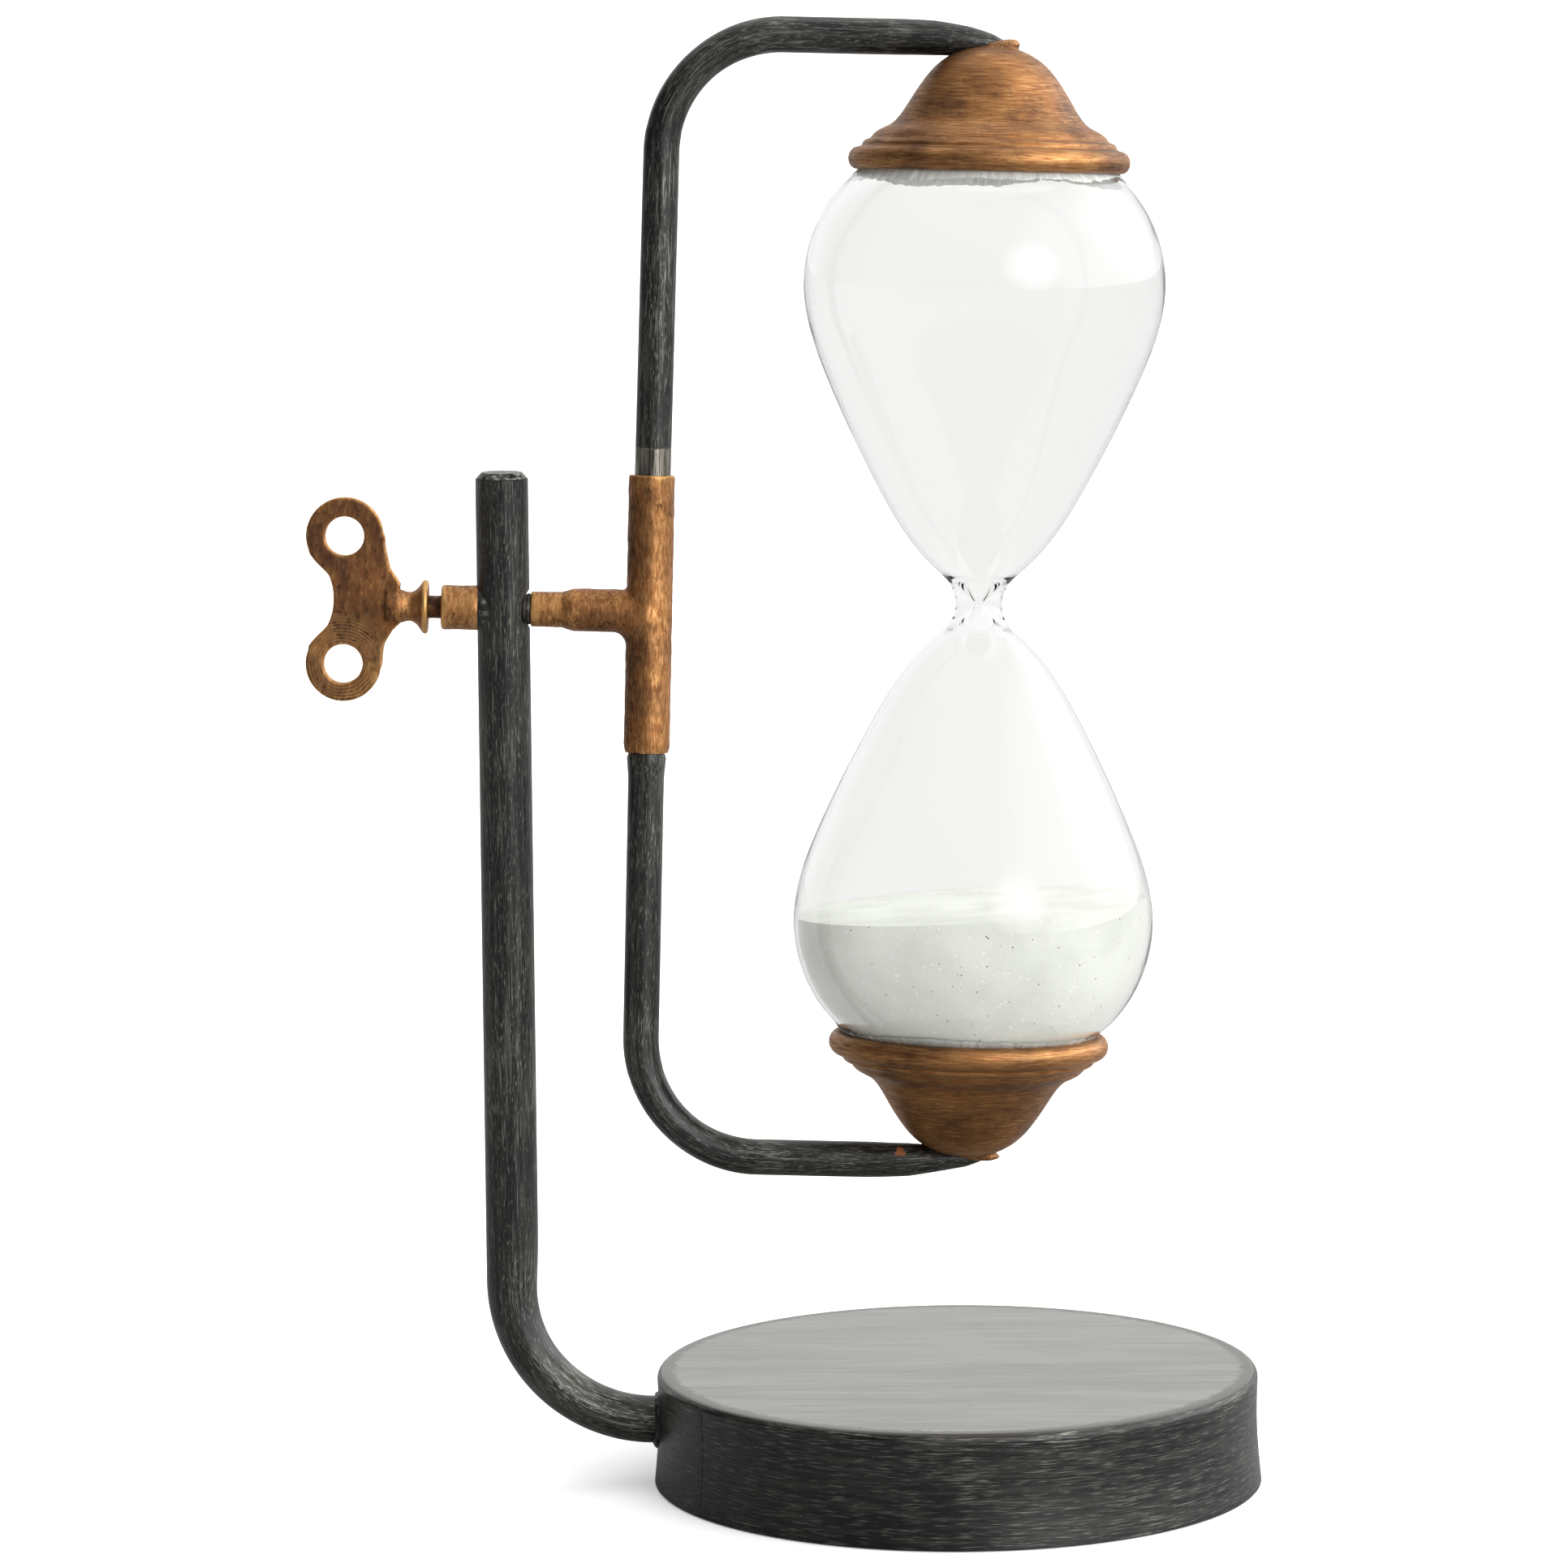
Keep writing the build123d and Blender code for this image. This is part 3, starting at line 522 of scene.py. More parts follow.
def waxed_iron(name):
    made = Finish(name)
    grain = made.mark("grain", "Vector")
    lines = made.cloud(made.stretch(grain, (1100, 40, 900)), 1.0, 3, 0.55)
    broad = made.cloud(made.stretch(grain, (130, 14, 100)), 1.0, 3, 0.5)
    dirt = made.cloud(grain, 420.0, 4, 0.65)
    dots = made.node("ShaderNodeTexVoronoi", {}, {"Vector": grain, "Scale": 130.0})
    which = made.cloud(grain, 90.0, 1, 0.5)
    dot = (1 - made.ease(dots, 0.05, 0.09)) * made.ease(which, 0.58, 0.60)
    rim = made.ease(made.mark("wear_and_highlight") + (dirt - 0.5) * 0.55, 0.10, 0.34)
    lit = made.ease(lines * 0.5 + broad * 0.5, 0.36, 0.66)
    # Painted sheen: these greys are much lighter than the black iron of the drum's side.
    sheen_grey = made.blend(lit, tone("#46463d"), tone("#70716a"))
    browned = made.blend(rim * 0.85, sheen_grey, tone("#2a221a"))
    dotted = made.blend(dot, browned, tone("#26221c"))
    rough = made.ease(broad, 0.3, 0.7) * 0.06 + 0.16 + rim * 0.1
    rise = made.bump(lines * 0.2 - rim * dirt, 0.06 * MM)
    return made.shade(
        Base_Color=dotted, Roughness=rough, Normal=rise, IOR=WAX_IOR, Specular_Tint=(0.99, 1.0, 0.94, 1)
    )


iron_table = waxed_iron("black_iron_table")

# %% [markdown]
# ## Antique brass
#
# The bells, the tee and the key have a brown stain over brass, wiped off again with a gold paste.
# Seen close it is gold on the high spots, amber between and nearly black in the pits, always drawn
# out along the brush. The layers go on in that order here too: a brown and amber ground, gold
# strokes, dark pits, then gold on whatever the *wear* value calls an edge. On the tee that value
# also holds a painted highlight: a band of gold right of the middle, on the side facing us.

# %% Antique brass
def antique_brass(name, stretch, gilt=0.0, pits=1.0, rings=None):
    made = Finish(name)
    grain = made.mark("grain", "Vector")
    wear_and_highlight = made.mark("wear_and_highlight")
    long_way = made.stretch(grain, stretch)
    brush = made.cloud(long_way, 1.0, 4, 0.6, 0.4)
    wide = made.cloud(long_way, 0.3, 3, 0.55, 0.4)
    patch = made.cloud(grain, 90.0, 5, 0.6)
    cloudy = made.cloud(grain, 28.0, 2, 0.5)
    crust = made.cloud(grain, 560.0, 5, 0.62, 0.5)
    amber = made.ease(patch * 0.6 + cloudy * 0.4 + wear_and_highlight * 0.12 + gilt, 0.34, 0.66)
    ground = made.blend(amber, tone("#4a2e1e"), tone("#8c5b32"))
    drawn = made.blend(made.ease(wide, 0.38, 0.68) * 0.22, ground, tone("#99683a"))
    gold = made.ease(brush + wear_and_highlight * 0.14 + gilt, 0.44, 0.78) * (amber * 0.45 + 0.2)
    if rings is not None:
        shine, lines = rings(made, grain)
        gold = gold + shine
    gilded = made.blend(gold, drawn, tone("#c99d66"))
    pitted = made.ease(crust - wear_and_highlight * 0.08 - gilt * 0.5, 0.53, 0.68) * (0.6 * pits)
    dark = pitted + made.ease(0.5 - brush, 0.04, 0.24) * 0.22
    if rings is not None:
        dark = dark + lines
    stained = made.blend(dark, gilded, tone("#201309"))
    edged = made.blend(made.ease(wear_and_highlight + brush * 0.5 - 0.25, 0.45, 0.95) * 0.6, stained, tone("#c99a5c"))
    rough = 0.50 - gold * 0.14 + dark * 0.2
    rise = made.bump(brush * 0.4 + wide * 0.2 - crust * (0.7 * pits), 0.05 * MM)
    return made.shade(Base_Color=edged, Roughness=rough, Metallic=0.8, Normal=rise)


brass_bell = antique_brass("antique_brass_bell", TURNED_GRAIN, gilt=0.03, pits=0.5)
brass_tee = antique_brass("antique_brass_tee", (2000, 2000, 420), gilt=0.01)
brass_turned = antique_brass("antique_brass_turned", (1300, 420, 420), gilt=0.04, pits=1.5)
brass_dark = antique_brass("antique_brass_dark", (1300, 420, 420), gilt=-0.22, pits=1.2)

# %% [markdown]
# ## Bare steel, glass, sand and the soft stuff
#
# Where the paint stops short there is bright drawn steel. The glass is clear with a breath of
# green. Lamps light the sand through it in real life, which a path tracer finds only with great
# patience, so a shadow ray goes straight through. Sand is a pale powder with a few dark grains and
# a few white specks painted in as glints.

# %% Bare steel
def bare_steel(name, stretch):
    made = Finish(name)
    grain = made.place()
    lines = made.cloud(made.stretch(grain, stretch), 1.0, 4, 0.6)
    stain = made.cloud(grain, 300.0, 4, 0.6)
    colour = made.blend(made.ease(lines, 0.35, 0.7), tone("#55524c"), tone("#b4afa6"))
    spotted = made.blend(made.ease(stain, 0.55, 0.75) * 0.5, colour, tone("#6a5644"))
    rough, rise = 0.28 + stain * 0.2, made.bump(lines, 0.03 * MM)
    return made.shade(Base_Color=spotted, Roughness=rough, Metallic=0.95, Normal=rise)


# %% Clear glass
GLASS_IOR = 1.3


def clear_glass(name):
    made = Finish(name)
    ripple = made.cloud(made.mark("grain", "Vector"), 45.0, 2, 0.4)
    sockets = {
        "Base Color": (0.99, 0.995, 0.99, 1), "Roughness": 0.0, "IOR": GLASS_IOR,
        "Transmission Weight": 1.0, "Normal": made.bump(ripple, 0.12 * MM),
    }
    glass = made.node("ShaderNodeBsdfPrincipled", {}, sockets)
    through = made.node("ShaderNodeBsdfTransparent", {}, {"Color": (0.97, 0.985, 0.97, 1)})
    is_lamp = made.node("ShaderNodeLightPath", output="Is Shadow Ray")
    return made.close(made.node("ShaderNodeMixShader", {}, {0: is_lamp, 1: glass, 2: through}))


# %% Pale sand
def pale_sand(name):
    made = Finish(name)
    grain = made.mark("grain", "Vector")
    grit = made.cloud(grain, 3200.0, 2, 0.6)
    damp = made.cloud(grain, 60.0, 3, 0.5)

    def scattered(scale, size, rare):
        cells = made.node("ShaderNodeTexVoronoi", {}, {"Vector": grain, "Scale": scale})
        chosen = made.cloud(made.stretch(grain, (scale / 2,) * 3), 1.0, 1, 0.5)
        return (1 - made.ease(cells, size, size + 0.06)) * made.ease(chosen, rare, rare + 0.02)

    body = made.blend(made.ease(damp, 0.35, 0.7), tone("#d3d4cd"), tone("#e2e3dd"))
    grainy = made.blend(made.ease(grit, 0.35, 0.75) * 0.35, body, tone("#f3f4ef"))
    # Painted glints: sparse pure white specks in the colour, not a shine of the surface.
    with_painted_glints = made.blend(scattered(900.0, 0.16, 0.56) * 0.8, grainy, tone("#ffffff"))
    specked = made.blend(scattered(520.0, 0.07, 0.53), with_painted_glints, tone("#5a554b"))
    rise = made.bump(grit, 0.08 * MM)
    return made.shade(Base_Color=specked, Roughness=0.75, Normal=rise)


# %% [markdown]
# The adhesive is half clear and wrinkled, cork is two browns broken up by cells, and felt is a dark
# fuzz with a worn nap. None of them takes up much room, but each is seen from somewhere.

# %% Adhesive, cork and felt
def clear_adhesive(name):
    made = Finish(name)
    grain = made.mark("grain", "Vector")
    ridge = made.cloud(made.stretch(grain, (300, 900, 900)), 1.0, 4, 0.6, 0.8)
    colour = made.blend(made.ease(ridge, 0.4, 0.65), tone("#dde2da"), tone("#ffffff"))
    rise = made.bump(ridge, 0.35 * MM)
    return made.shade(Base_Color=colour, Roughness=0.22, IOR=1.45, Transmission_Weight=0.5, Normal=rise)


def cork(name):
    made = Finish(name)
    place = made.place()
    cells = made.node("ShaderNodeTexVoronoi", {}, {"Vector": place, "Scale": 900.0})
    flecks = made.cloud(place, 500.0, 4, 0.6)
    light = made.blend(made.ease(flecks, 0.35, 0.7), tone("#8a6540"), tone("#c79a68"))
    mixed = made.blend(made.ease(cells, 0.35, 0.6) * 0.4, light, tone("#5c3f24"))
    return made.shade(Base_Color=mixed, Roughness=0.85, Normal=made.bump(flecks, 0.15 * MM))


def felt(name):
    made = Finish(name)
    place = made.place()
    fuzz = made.cloud(made.stretch(place, (1, 1, 0.4)), 2600.0, 5, 0.7)
    nap = made.cloud(place, 90.0, 3, 0.5)
    colour = made.blend(made.ease(fuzz, 0.3, 0.7), tone("#141413"), tone("#33322f"))
    worn = made.blend(made.ease(nap, 0.5, 0.8) * 0.3, colour, tone("#46443f"))
    return made.shade(Base_Color=worn, Roughness=0.95, Sheen_Weight=0.3, Normal=made.bump(fuzz, 0.2 * MM))


# %% Mix them
steel_plain = bare_steel("bare_steel_plain", (400, 400, 400))
iron_plain = black_iron("black_iron_plain", (700, 700, 700), coordinates="frame")
glass_clear = clear_glass("clear_glass")
sand_pale = pale_sand("pale_sand")
glue_clear = clear_adhesive("clear_adhesive")
cork_brown = cork("cork")
felt_black = felt("felt")
print("materials so far:", len(bpy.data.materials))

# %% [markdown]
# ## The foot
#
# A disc of plate is set into a rolled band and the top edge is filed round, so the drum looks like
# one piece of sheet. It is turned as one hollow skin: down the inside, under the lower edge, up the
# slightly hollow side, round the edge and over the top. The band's two ends meet at a fine upright
# seam, pressed in as a groove.

# %% Drum
drum_low, drum_high = span("base_side_band")
plate_low, plate_high = span("base_top_plate")
FOOT_R = plate_high[0]
FLARE_R = drum_high[0]
FOOT_TOP = plate_high[2]
BAND_FOOT = drum_low[2]
EDGE_R = 1.8 * MM
WAIST_R = FOOT_R - 0.2 * MM
SHEET_T = 1.6 * MM
SEAM, SEAM_DEPTH = radians(212), 0.45 * MM
HAND_BOW = 0.12 * MM
SPOKES = 288
inside_r = WAIST_R - SHEET_T


def drum_skin():
    waisted = [(FLARE_R, BAND_FOOT + 0.3 * MM), (WAIST_R, FOOT_TOP * 0.55), (FOOT_R, FOOT_TOP - EDGE_R)]
    side = curve_through(waisted, step=1.2 * MM)
    edge = arc((FOOT_R - EDGE_R, FOOT_TOP - EDGE_R), EDGE_R, 0, 90, 10)[1:]
    top = np.column_stack([np.linspace(FOOT_R - EDGE_R, 0, 40)[1:], np.full(39, FOOT_TOP)])
    under = plate_low[2]
    inner = [(0, under), (inside_r, under), (inside_r, BAND_FOOT), (FLARE_R - 0.3 * MM, BAND_FOOT)]
    outline = np.vstack([inner, side, edge, top])
    turn = np.linspace(0, tau, SPOKES, endpoint=False) + SEAM
    near = np.array([-0.5, -0.22, 0.0, 0.22, 0.5]) * MM / FOOT_R
    away = (turn > SEAM + near[-1]) & (turn < SEAM + tau + near[0])
    turn = np.sort(np.concatenate([turn[away], SEAM + near]))
    from_seam = np.abs((turn - SEAM + pi) % tau - pi) * FOOT_R
    rings, grain, wear_and_highlight = [], [], []
    for radius, height in outline:
        on_side = radius > inside_r + 0.5 * MM and height < FOOT_TOP - 0.3 * MM
        grooved = on_side and height < FOOT_TOP - EDGE_R
        groove = np.where(from_seam < 0.1 * MM, SEAM_DEPTH, 0) if grooved else 0
        bow = np.array([noise.noise(Vector((cos(a), sin(a), height * 20))) for a in turn]) * HAND_BOW
        r = np.maximum(radius - groove + bow * min(1, radius / FOOT_R), 0.01 * MM)
        x, y, level = r * np.cos(turn), r * np.sin(turn), np.full(len(turn), height)
        rings.append(np.column_stack([x, y, level]))
        if on_side:
            grain.append(np.column_stack([np.full(len(turn), radius), turn * FOOT_R, level]))
        else:
            grain.append(np.column_stack([y, x, level]))
        rim = 0.5 * np.exp(-((radius - FOOT_R + EDGE_R) / (2.2 * MM)) ** 2)
        wear_and_highlight.append(np.full(len(turn), rim if height > FOOT_TOP - 2 * EDGE_R else 0.0))
    return skin("foot_drum", rings, grain, np.array(wear_and_highlight))


drum = fit(drum_skin(), "stand", "black_iron", iron_drum, "base_top_plate", "base_side_band")
drum.data.materials.append(iron_table)
for face in drum.data.polygons:
    face.material_index = 1 if face.normal.z > 0.9 and face.center.z > FOOT_TOP - 0.5 * MM else 0

# %% [markdown]
# ## The upright
#
# A thin tube, bent cold without a mandrel: the wall on the inside of the bend gives, so the tube is
# no longer round there and stays a little flat where it meets the drum. It is swept with a section
# that changes, hollow inside, and then bored for the pivot's bush and faced flat where the washers
# sit.

# %% Upright tube
post_low, post_high = span("post")
bush_low, bush_high = span("pivot_bush", SPINDLE)
POST_X = PIVOT.x
POST_R = POST_X - post_low[0]
POST_TOP = post_high[2]
POST_WALL = 1.6 * MM
LEVEL_Z = 15.3 * MM
BEND_R = 32.4 * MM
FLAT, FLAT_BEFORE, FLAT_OVER = 0.62 * MM, 12 * MM, 34 * MM
BARREL_R = 3.9 * MM
FACE_X = bush_high[2]
FACE_R = 4.6 * MM


def upright_skin():
    bend = arc((POST_X + BEND_R, LEVEL_Z + BEND_R), BEND_R, 180, 270, 44)
    fall = np.linspace(POST_TOP, LEVEL_Z + BEND_R, 90, endpoint=False)
    down = np.column_stack([np.full(90, POST_X), fall])
    reach = np.linspace(POST_X + BEND_R, -WAIST_R + 1.0 * MM, 8)[1:]
    run_in = np.column_stack([reach, np.full(7, LEVEL_Z)])
    line = np.vstack([down, bend, run_in])
    along = run_length(line)
    start = POST_TOP - LEVEL_Z - BEND_R
    flat = np.clip((along - start + FLAT_BEFORE) / FLAT_OVER, 0, 1)
    flat = FLAT * flat * flat * (3 - 2 * flat)
    way = np.gradient(line, axis=0)
    way /= np.linalg.norm(way, axis=1)[:, None]
    line = line - np.column_stack([-way[:, 1], way[:, 0]]) * flat[:, None]
    radii = np.column_stack([POST_R + 0.5 * flat, POST_R - flat])
    rubbed = 0.06 * np.exp(-(((along - start - 25 * MM) / (26 * MM)) ** 2))
    outer = sweep("upright_tube", line, radii, Matrix(), 64, rubbed)
    inner = sweep("upright_bore", line[2:-1], radii[2:-1] - POST_WALL, Matrix(), 48)
    return cut_away(outer, inner)


def round_tool(radius, first, last, bench, segments=96):
    """Plain round cutter along the bench's Z, with a few rings so the grain runs on."""
    heights = np.linspace(first, last, 5)
    return lathe("cutter", np.column_stack([np.full(5, radius), heights]), bench, segments)


upright = upright_skin()
cut_away(
    upright,
    round_tool(BARREL_R + 0.05 * MM, -2 * POST_R, 2 * POST_R, SPINDLE),
    round_tool(FACE_R, FACE_X, 2 * POST_R, SPINDLE),
)
fit(upright, "stand", "black_iron", iron_rod, "post")

# %% [markdown]
# The tube's top is closed with a small plug, welded round and filed flat by hand. One side of the
# weld was never filled, so a dark pit is left at the front right. The plug and its weld are one
# lump with that pit taken out.

# %% Shape of the plug
plug_low, plug_high = span("post_top_plug")
PLUG_T = plug_high[2] - POST_TOP
PLUG_FACE_R = 4.65 * MM


def plug_depth(p):
    r = np.hypot(p[:, 0] - POST_X, p[:, 1])
    slope = (POST_R - PLUG_FACE_R) / PLUG_T
    cone = (r - (POST_R - 0.05 * MM) + slope * (p[:, 2] - POST_TOP)) / np.hypot(1, slope)
    body = np.maximum(np.maximum(cone, r - POST_R), p[:, 2] - plug_high[2])
    body = np.maximum(body, plug_low[2] - p[:, 2])
    spigot = r - (POST_R - POST_WALL - 0.02 * MM)
    body = np.maximum(body, np.where(p[:, 2] < POST_TOP, spigot, -1.0))
    pit = blob(p, (POST_X + 2.6 * MM, -4.6 * MM, POST_TOP + 0.9 * MM), (1.7 * MM, 1.0 * MM, 0.45 * MM))
    nick = blob(p, (POST_X + 4.7 * MM, -2.9 * MM, POST_TOP + 0.8 * MM), (0.7 * MM, 0.9 * MM, 0.4 * MM))
    return np.maximum(np.maximum(body, -pit), -nick)


# %% Plug
plug = grow(
    "upright_plug", plug_depth,
    (POST_X - 7 * MM, -7 * MM, POST_TOP - 2.0 * MM), (POST_X + 7 * MM, 7 * MM, plug_high[2] + 0.5 * MM),
    0.22 * MM, Matrix(), lumps=0.015 * MM,
    wear_and_highlight=lambda p: np.clip((p[:, 2] - POST_TOP) / PLUG_T, 0, 1) * 0.8,
)
fit(plug, "stand", "black_iron", iron_plain, "post_top_plug")


# %% [markdown]
# The weld between the tube and the drum is a round bead that follows the line where they meet. It is
# heavier underneath, where the metal ran while it was hot.

# %% Weld at the foot
def weld_depth(p):
    """Ring of weld between the flattened tube and the drum, heavier underneath."""
    out = np.hypot(p[:, 0], p[:, 1]) - WAIST_R
    tube = np.hypot(p[:, 1] / (POST_R + 0.3 * MM), (p[:, 2] - LEVEL_Z + FLAT) / (POST_R - FLAT))
    tube = (tube - 1) * (POST_R - FLAT)
    bead = np.hypot(np.maximum(out, -0.4 * MM) - 0.1 * MM, tube - 0.1 * MM) - 0.75 * MM
    below = np.clip((LEVEL_Z - p[:, 2]) / (6 * MM), 0, 1)
    return bead - 0.45 * MM * below


weld = grow(
    "foot_weld", weld_depth,
    (-WAIST_R - 3 * MM, -9 * MM, LEVEL_Z - 9 * MM), (-WAIST_R + 1.6 * MM, 9 * MM, LEVEL_Z + 8 * MM),
    0.3 * MM, Matrix(), lumps=0.22 * MM,
)
fit(weld, "stand", "black_iron", iron_plain, "post_weld")

# %% [markdown]
# ## The pivot
#
# On the left of the upright a brass bush, a thin dark spacer and the key's flared ferrule; on the
# right two iron washers and the sleeve that the tee is brazed to. A thin fillet of weld was run
# round the bush where it leaves the tube. All of them are turned on the spindle's bench.
# Hand-rubbed parts this small are never quite true, so each has a little unevenness.

# %% Turned parts
BORE = 2.02


def turned_part(
    name, points, material, node, body="carrier", slot="antique_brass", wear_and_highlight=None, uneven=0.05 * MM
):
    """A small lathe piece on the spindle. Rounded corners come from short runs in the outline."""
    rows = [(r * MM, x * MM) for r, x in points]
    rubbing_and_highlight = 0.0 if wear_and_highlight is None else np.array(wear_and_highlight, float)
    made = lathe(name, rows, SPINDLE, 96, rubbing_and_highlight, uneven=uneven, seed=len(name))
    return fit(made, body, slot, material, node)


# %% Bush and its weld
bush_x = bush_low[2] / MM
turned_part(
    "pivot_bush_brass",
    [(2.05, bush_x), (4.3, bush_x), (4.75, bush_x + 0.08), (5.02, bush_x + 0.35), (5.1, bush_x + 0.8),
     (5.02, -11.2), (5.0, -9.5), (5.06, -8.0), (5.1, -6.4), (5.02, -5.75), (3.9, -5.6),
     (3.9, FACE_X / MM), (2.05, FACE_X / MM)],
    brass_turned, "pivot_bush", "stand", wear_and_highlight=[0, 0.3, 0.9, 1, 0.6, 0.2, 0.1, 0.15, 0.5, 0.7, 0, 0, 0],
)
fillet = [(3.92, -5.75), (4.7, -5.9), (5.05, -5.65), (5.2, -5.0), (5.1, -3.2), (3.92, -3.0)]
collar = lathe("bush_fillet_weld", np.array(fillet) * MM, SPINDLE, 96, uneven=0.35 * MM, seed=4.0)
fit(collar, "stand", "black_iron", iron_plain)


def ends(node):
    """Where a part on the spindle starts and stops, in millimetres."""
    low, high = span(node, SPINDLE)
    return low[2] / MM, high[2] / MM


# %% Spacer and ferrule
first, last = ends("spindle_spacer")
turned_part(
    "spindle_spacer_ring",
    [(BORE, first), (2.5, first), (2.6, first + 0.1), (2.55, -15.6),
     (2.6, last - 0.1), (2.5, last), (BORE, last)],
    brass_dark, "spindle_spacer", slot="black_iron",
)
FLANGE_X = ends("key_ferrule")[1]
flare = curve_through(
    [(5.75, FLANGE_X - 1.35), (4.4, FLANGE_X - 2.3), (3.45, FLANGE_X - 3.6), (3.35, FLANGE_X - 4.6),
     (3.75, FLANGE_X - 6.0), (3.9, -24.2)], step=0.25)
ferrule_outline = [
    (BORE, FLANGE_X), (5.5, FLANGE_X), (5.85, FLANGE_X - 0.08), (6.1, FLANGE_X - 0.35),
    (6.15, FLANGE_X - 0.7), (6.05, FLANGE_X - 1.05), *flare, (3.9, -25.2), (3.6, -25.6), (0.0, -25.6),
]
turned_part(
    "key_ferrule_turned", ferrule_outline, brass_turned, "key_ferrule",
    wear_and_highlight=[0, 0.4, 1, 1.2, 1.2, 1] + [0.1] * len(flare) + [0, 0, 0], uneven=0.08 * MM,
)
# %% Washers and sleeve
for washer in ("friction_washer", "backing_washer"):
    first, last = ends(washer)
    rim = span(washer, SPINDLE)[1][0] / MM
    turned_part(
        washer + "_turned",
        [(BORE, first), (rim - 0.2, first), (rim, first + 0.2),
         (rim, last - 0.2), (rim - 0.2, last), (BORE, last)],
        iron_plain, washer, slot="black_iron", uneven=0.02 * MM,
    )
first, last = ends("spindle_sleeve")
turned_part(
    "spindle_sleeve_brass",
    [(BORE, first), (3.5, first), (3.85, first + 0.12), (4.03, first + 0.4), (4.05, first + 1.2),
     (4.0, 8.8), (4.02, 10.4), (4.05, 12.0), (4.05, 13.6), (4.05, last), (BORE, last)],
    brass_turned, "spindle_sleeve", wear_and_highlight=[0, 0.4, 0.9, 1, 0.6, 0.2, 0.15, 0.2, 0.3, 0, 0],
    uneven=0.10 * MM,
)

# %% [markdown]
# The key's bow is a filed plate with two finger holes, hollow on the far side and running into the
# ferrule on the near side. Two round lobes and a web between them are joined as flat shapes,
# drilled, and given thickness and a soft edge. How far a point lies from the outline also says how
# much gold the edge has caught.

# %% Key bow
BOW_X, BOW_Z, BOW_T = -36.3 * MM, 1.2 * MM, 3.2 * MM
LOBE_R, HOLE_R, HOLE_RISE = 8.75 * MM, 4.4 * MM, 14.55 * MM
WAIST_X = -38.6 * MM
UPPER_HOLE = np.array([BOW_X, BOW_Z + HOLE_RISE])
LOWER_HOLE = np.array([BOW_X + 0.1 * MM, BOW_Z - HOLE_RISE + 0.05 * MM])
near_side_up = [(-26.8, 12.7), (-25.8, 8.6), (-23.9, 5.9), (-22.9, 4.3)]
near_side_down = [(-22.9, -3.3), (-25.1, -5.5), (-26.8, -8.4)]


def waist():
    """The hollow far side: an arc that leaves both lobes at the same angle."""
    inner = LOBE_R - 0.45 * MM
    reach, drop = inner * sin(radians(62)), inner * cos(radians(62))
    half, deep = HOLE_RISE - drop, WAIST_X - (BOW_X - reach)
    radius = (half**2 + deep**2) / (2 * deep)
    swing = np.degrees(np.arcsin(half / radius))
    return arc((WAIST_X - radius, BOW_Z), radius, -swing, swing, 17)


web = np.vstack([
    waist(), [UPPER_HOLE], [(BOW_X + LOBE_R, UPPER_HOLE[1])],
    np.array(near_side_up) * MM, np.array(near_side_down) * MM,
    [(BOW_X + LOBE_R - 0.2 * MM, LOWER_HOLE[1])], [LOWER_HOLE],
])


# %% [markdown]
# How deep a point lies inside a flat outline is its distance to the nearest side, with its sign from
# counting how many sides a line from it crosses. The lobes, the web and the holes come together in
# two dimensions, and the plate's thickness is added last.

# %% Depth of the bow
def flat_depth(p, corners):
    """Depth inside a flat outline, in its own two coordinates."""
    best = np.full(len(p), np.inf)
    inside = np.zeros(len(p), bool)
    for a, b in zip(corners, np.roll(corners, -1, axis=0)):
        run = b - a
        t = np.clip(((p - a) @ run) / (run @ run), 0, 1)
        best = np.minimum(best, np.linalg.norm(p - a - t[:, None] * run, axis=1))
        crosses = (a[1] > p[:, 1]) != (b[1] > p[:, 1])
        with np.errstate(divide="ignore", invalid="ignore"):
            inside ^= crosses & (p[:, 0] < run[0] * (p[:, 1] - a[1]) / run[1] + a[0])
    return np.where(inside, -best, best)


def bow_flat(p):
    flat = p[:, (0, 2)]
    upper = np.linalg.norm(flat - UPPER_HOLE, axis=1)
    lower = np.linalg.norm(flat - LOWER_HOLE, axis=1)
    lobes = np.minimum(upper - LOBE_R - 0.05 * MM, lower - LOBE_R + 0.2 * MM)
    shape = join(lobes, flat_depth(flat, web), 1.2 * MM)
    return np.maximum(shape, HOLE_R - np.minimum(upper, lower))


def bow_depth(p):
    soft = 0.5 * MM
    a, b = bow_flat(p) + soft, np.abs(p[:, 1]) - BOW_T / 2 + soft
    plate = np.hypot(np.maximum(a, 0), np.maximum(b, 0)) + np.minimum(np.maximum(a, b), 0) - soft
    barrel = bar(p, (0, 0, 0), 0, 3.9 * MM, -26.6 * MM, -24.0 * MM, 0.3 * MM)
    return join(plate, barrel, 0.8 * MM)


# %% [markdown]
# A brush was turned round the lower hole and left fine rings there. They are a wave of the distance
# from the hole, upset by a little noise so that no ring is perfect.

# %% Rings round the lower hole
RING_STEP = 0.72 * MM


def finger_marks(made, grain):
    """Fine rings that a turning brush left round the lower hole."""
    gap = made.vectors("DISTANCE", grain, (LOWER_HOLE[0], 0, LOWER_HOLE[1]), "Value")
    wobble = made.cloud(grain, 160.0, 3, 0.6)
    wave = made.math("SINE", gap * (tau / RING_STEP) + wobble * 9.0, 0.0)
    near = 1 - made.ease(gap, 9.0 * MM, 13.0 * MM)
    return near * 0.15, made.ease(wave, -0.4, 0.8) * near * made.ease(wobble, 0.3, 0.6) * 0.55


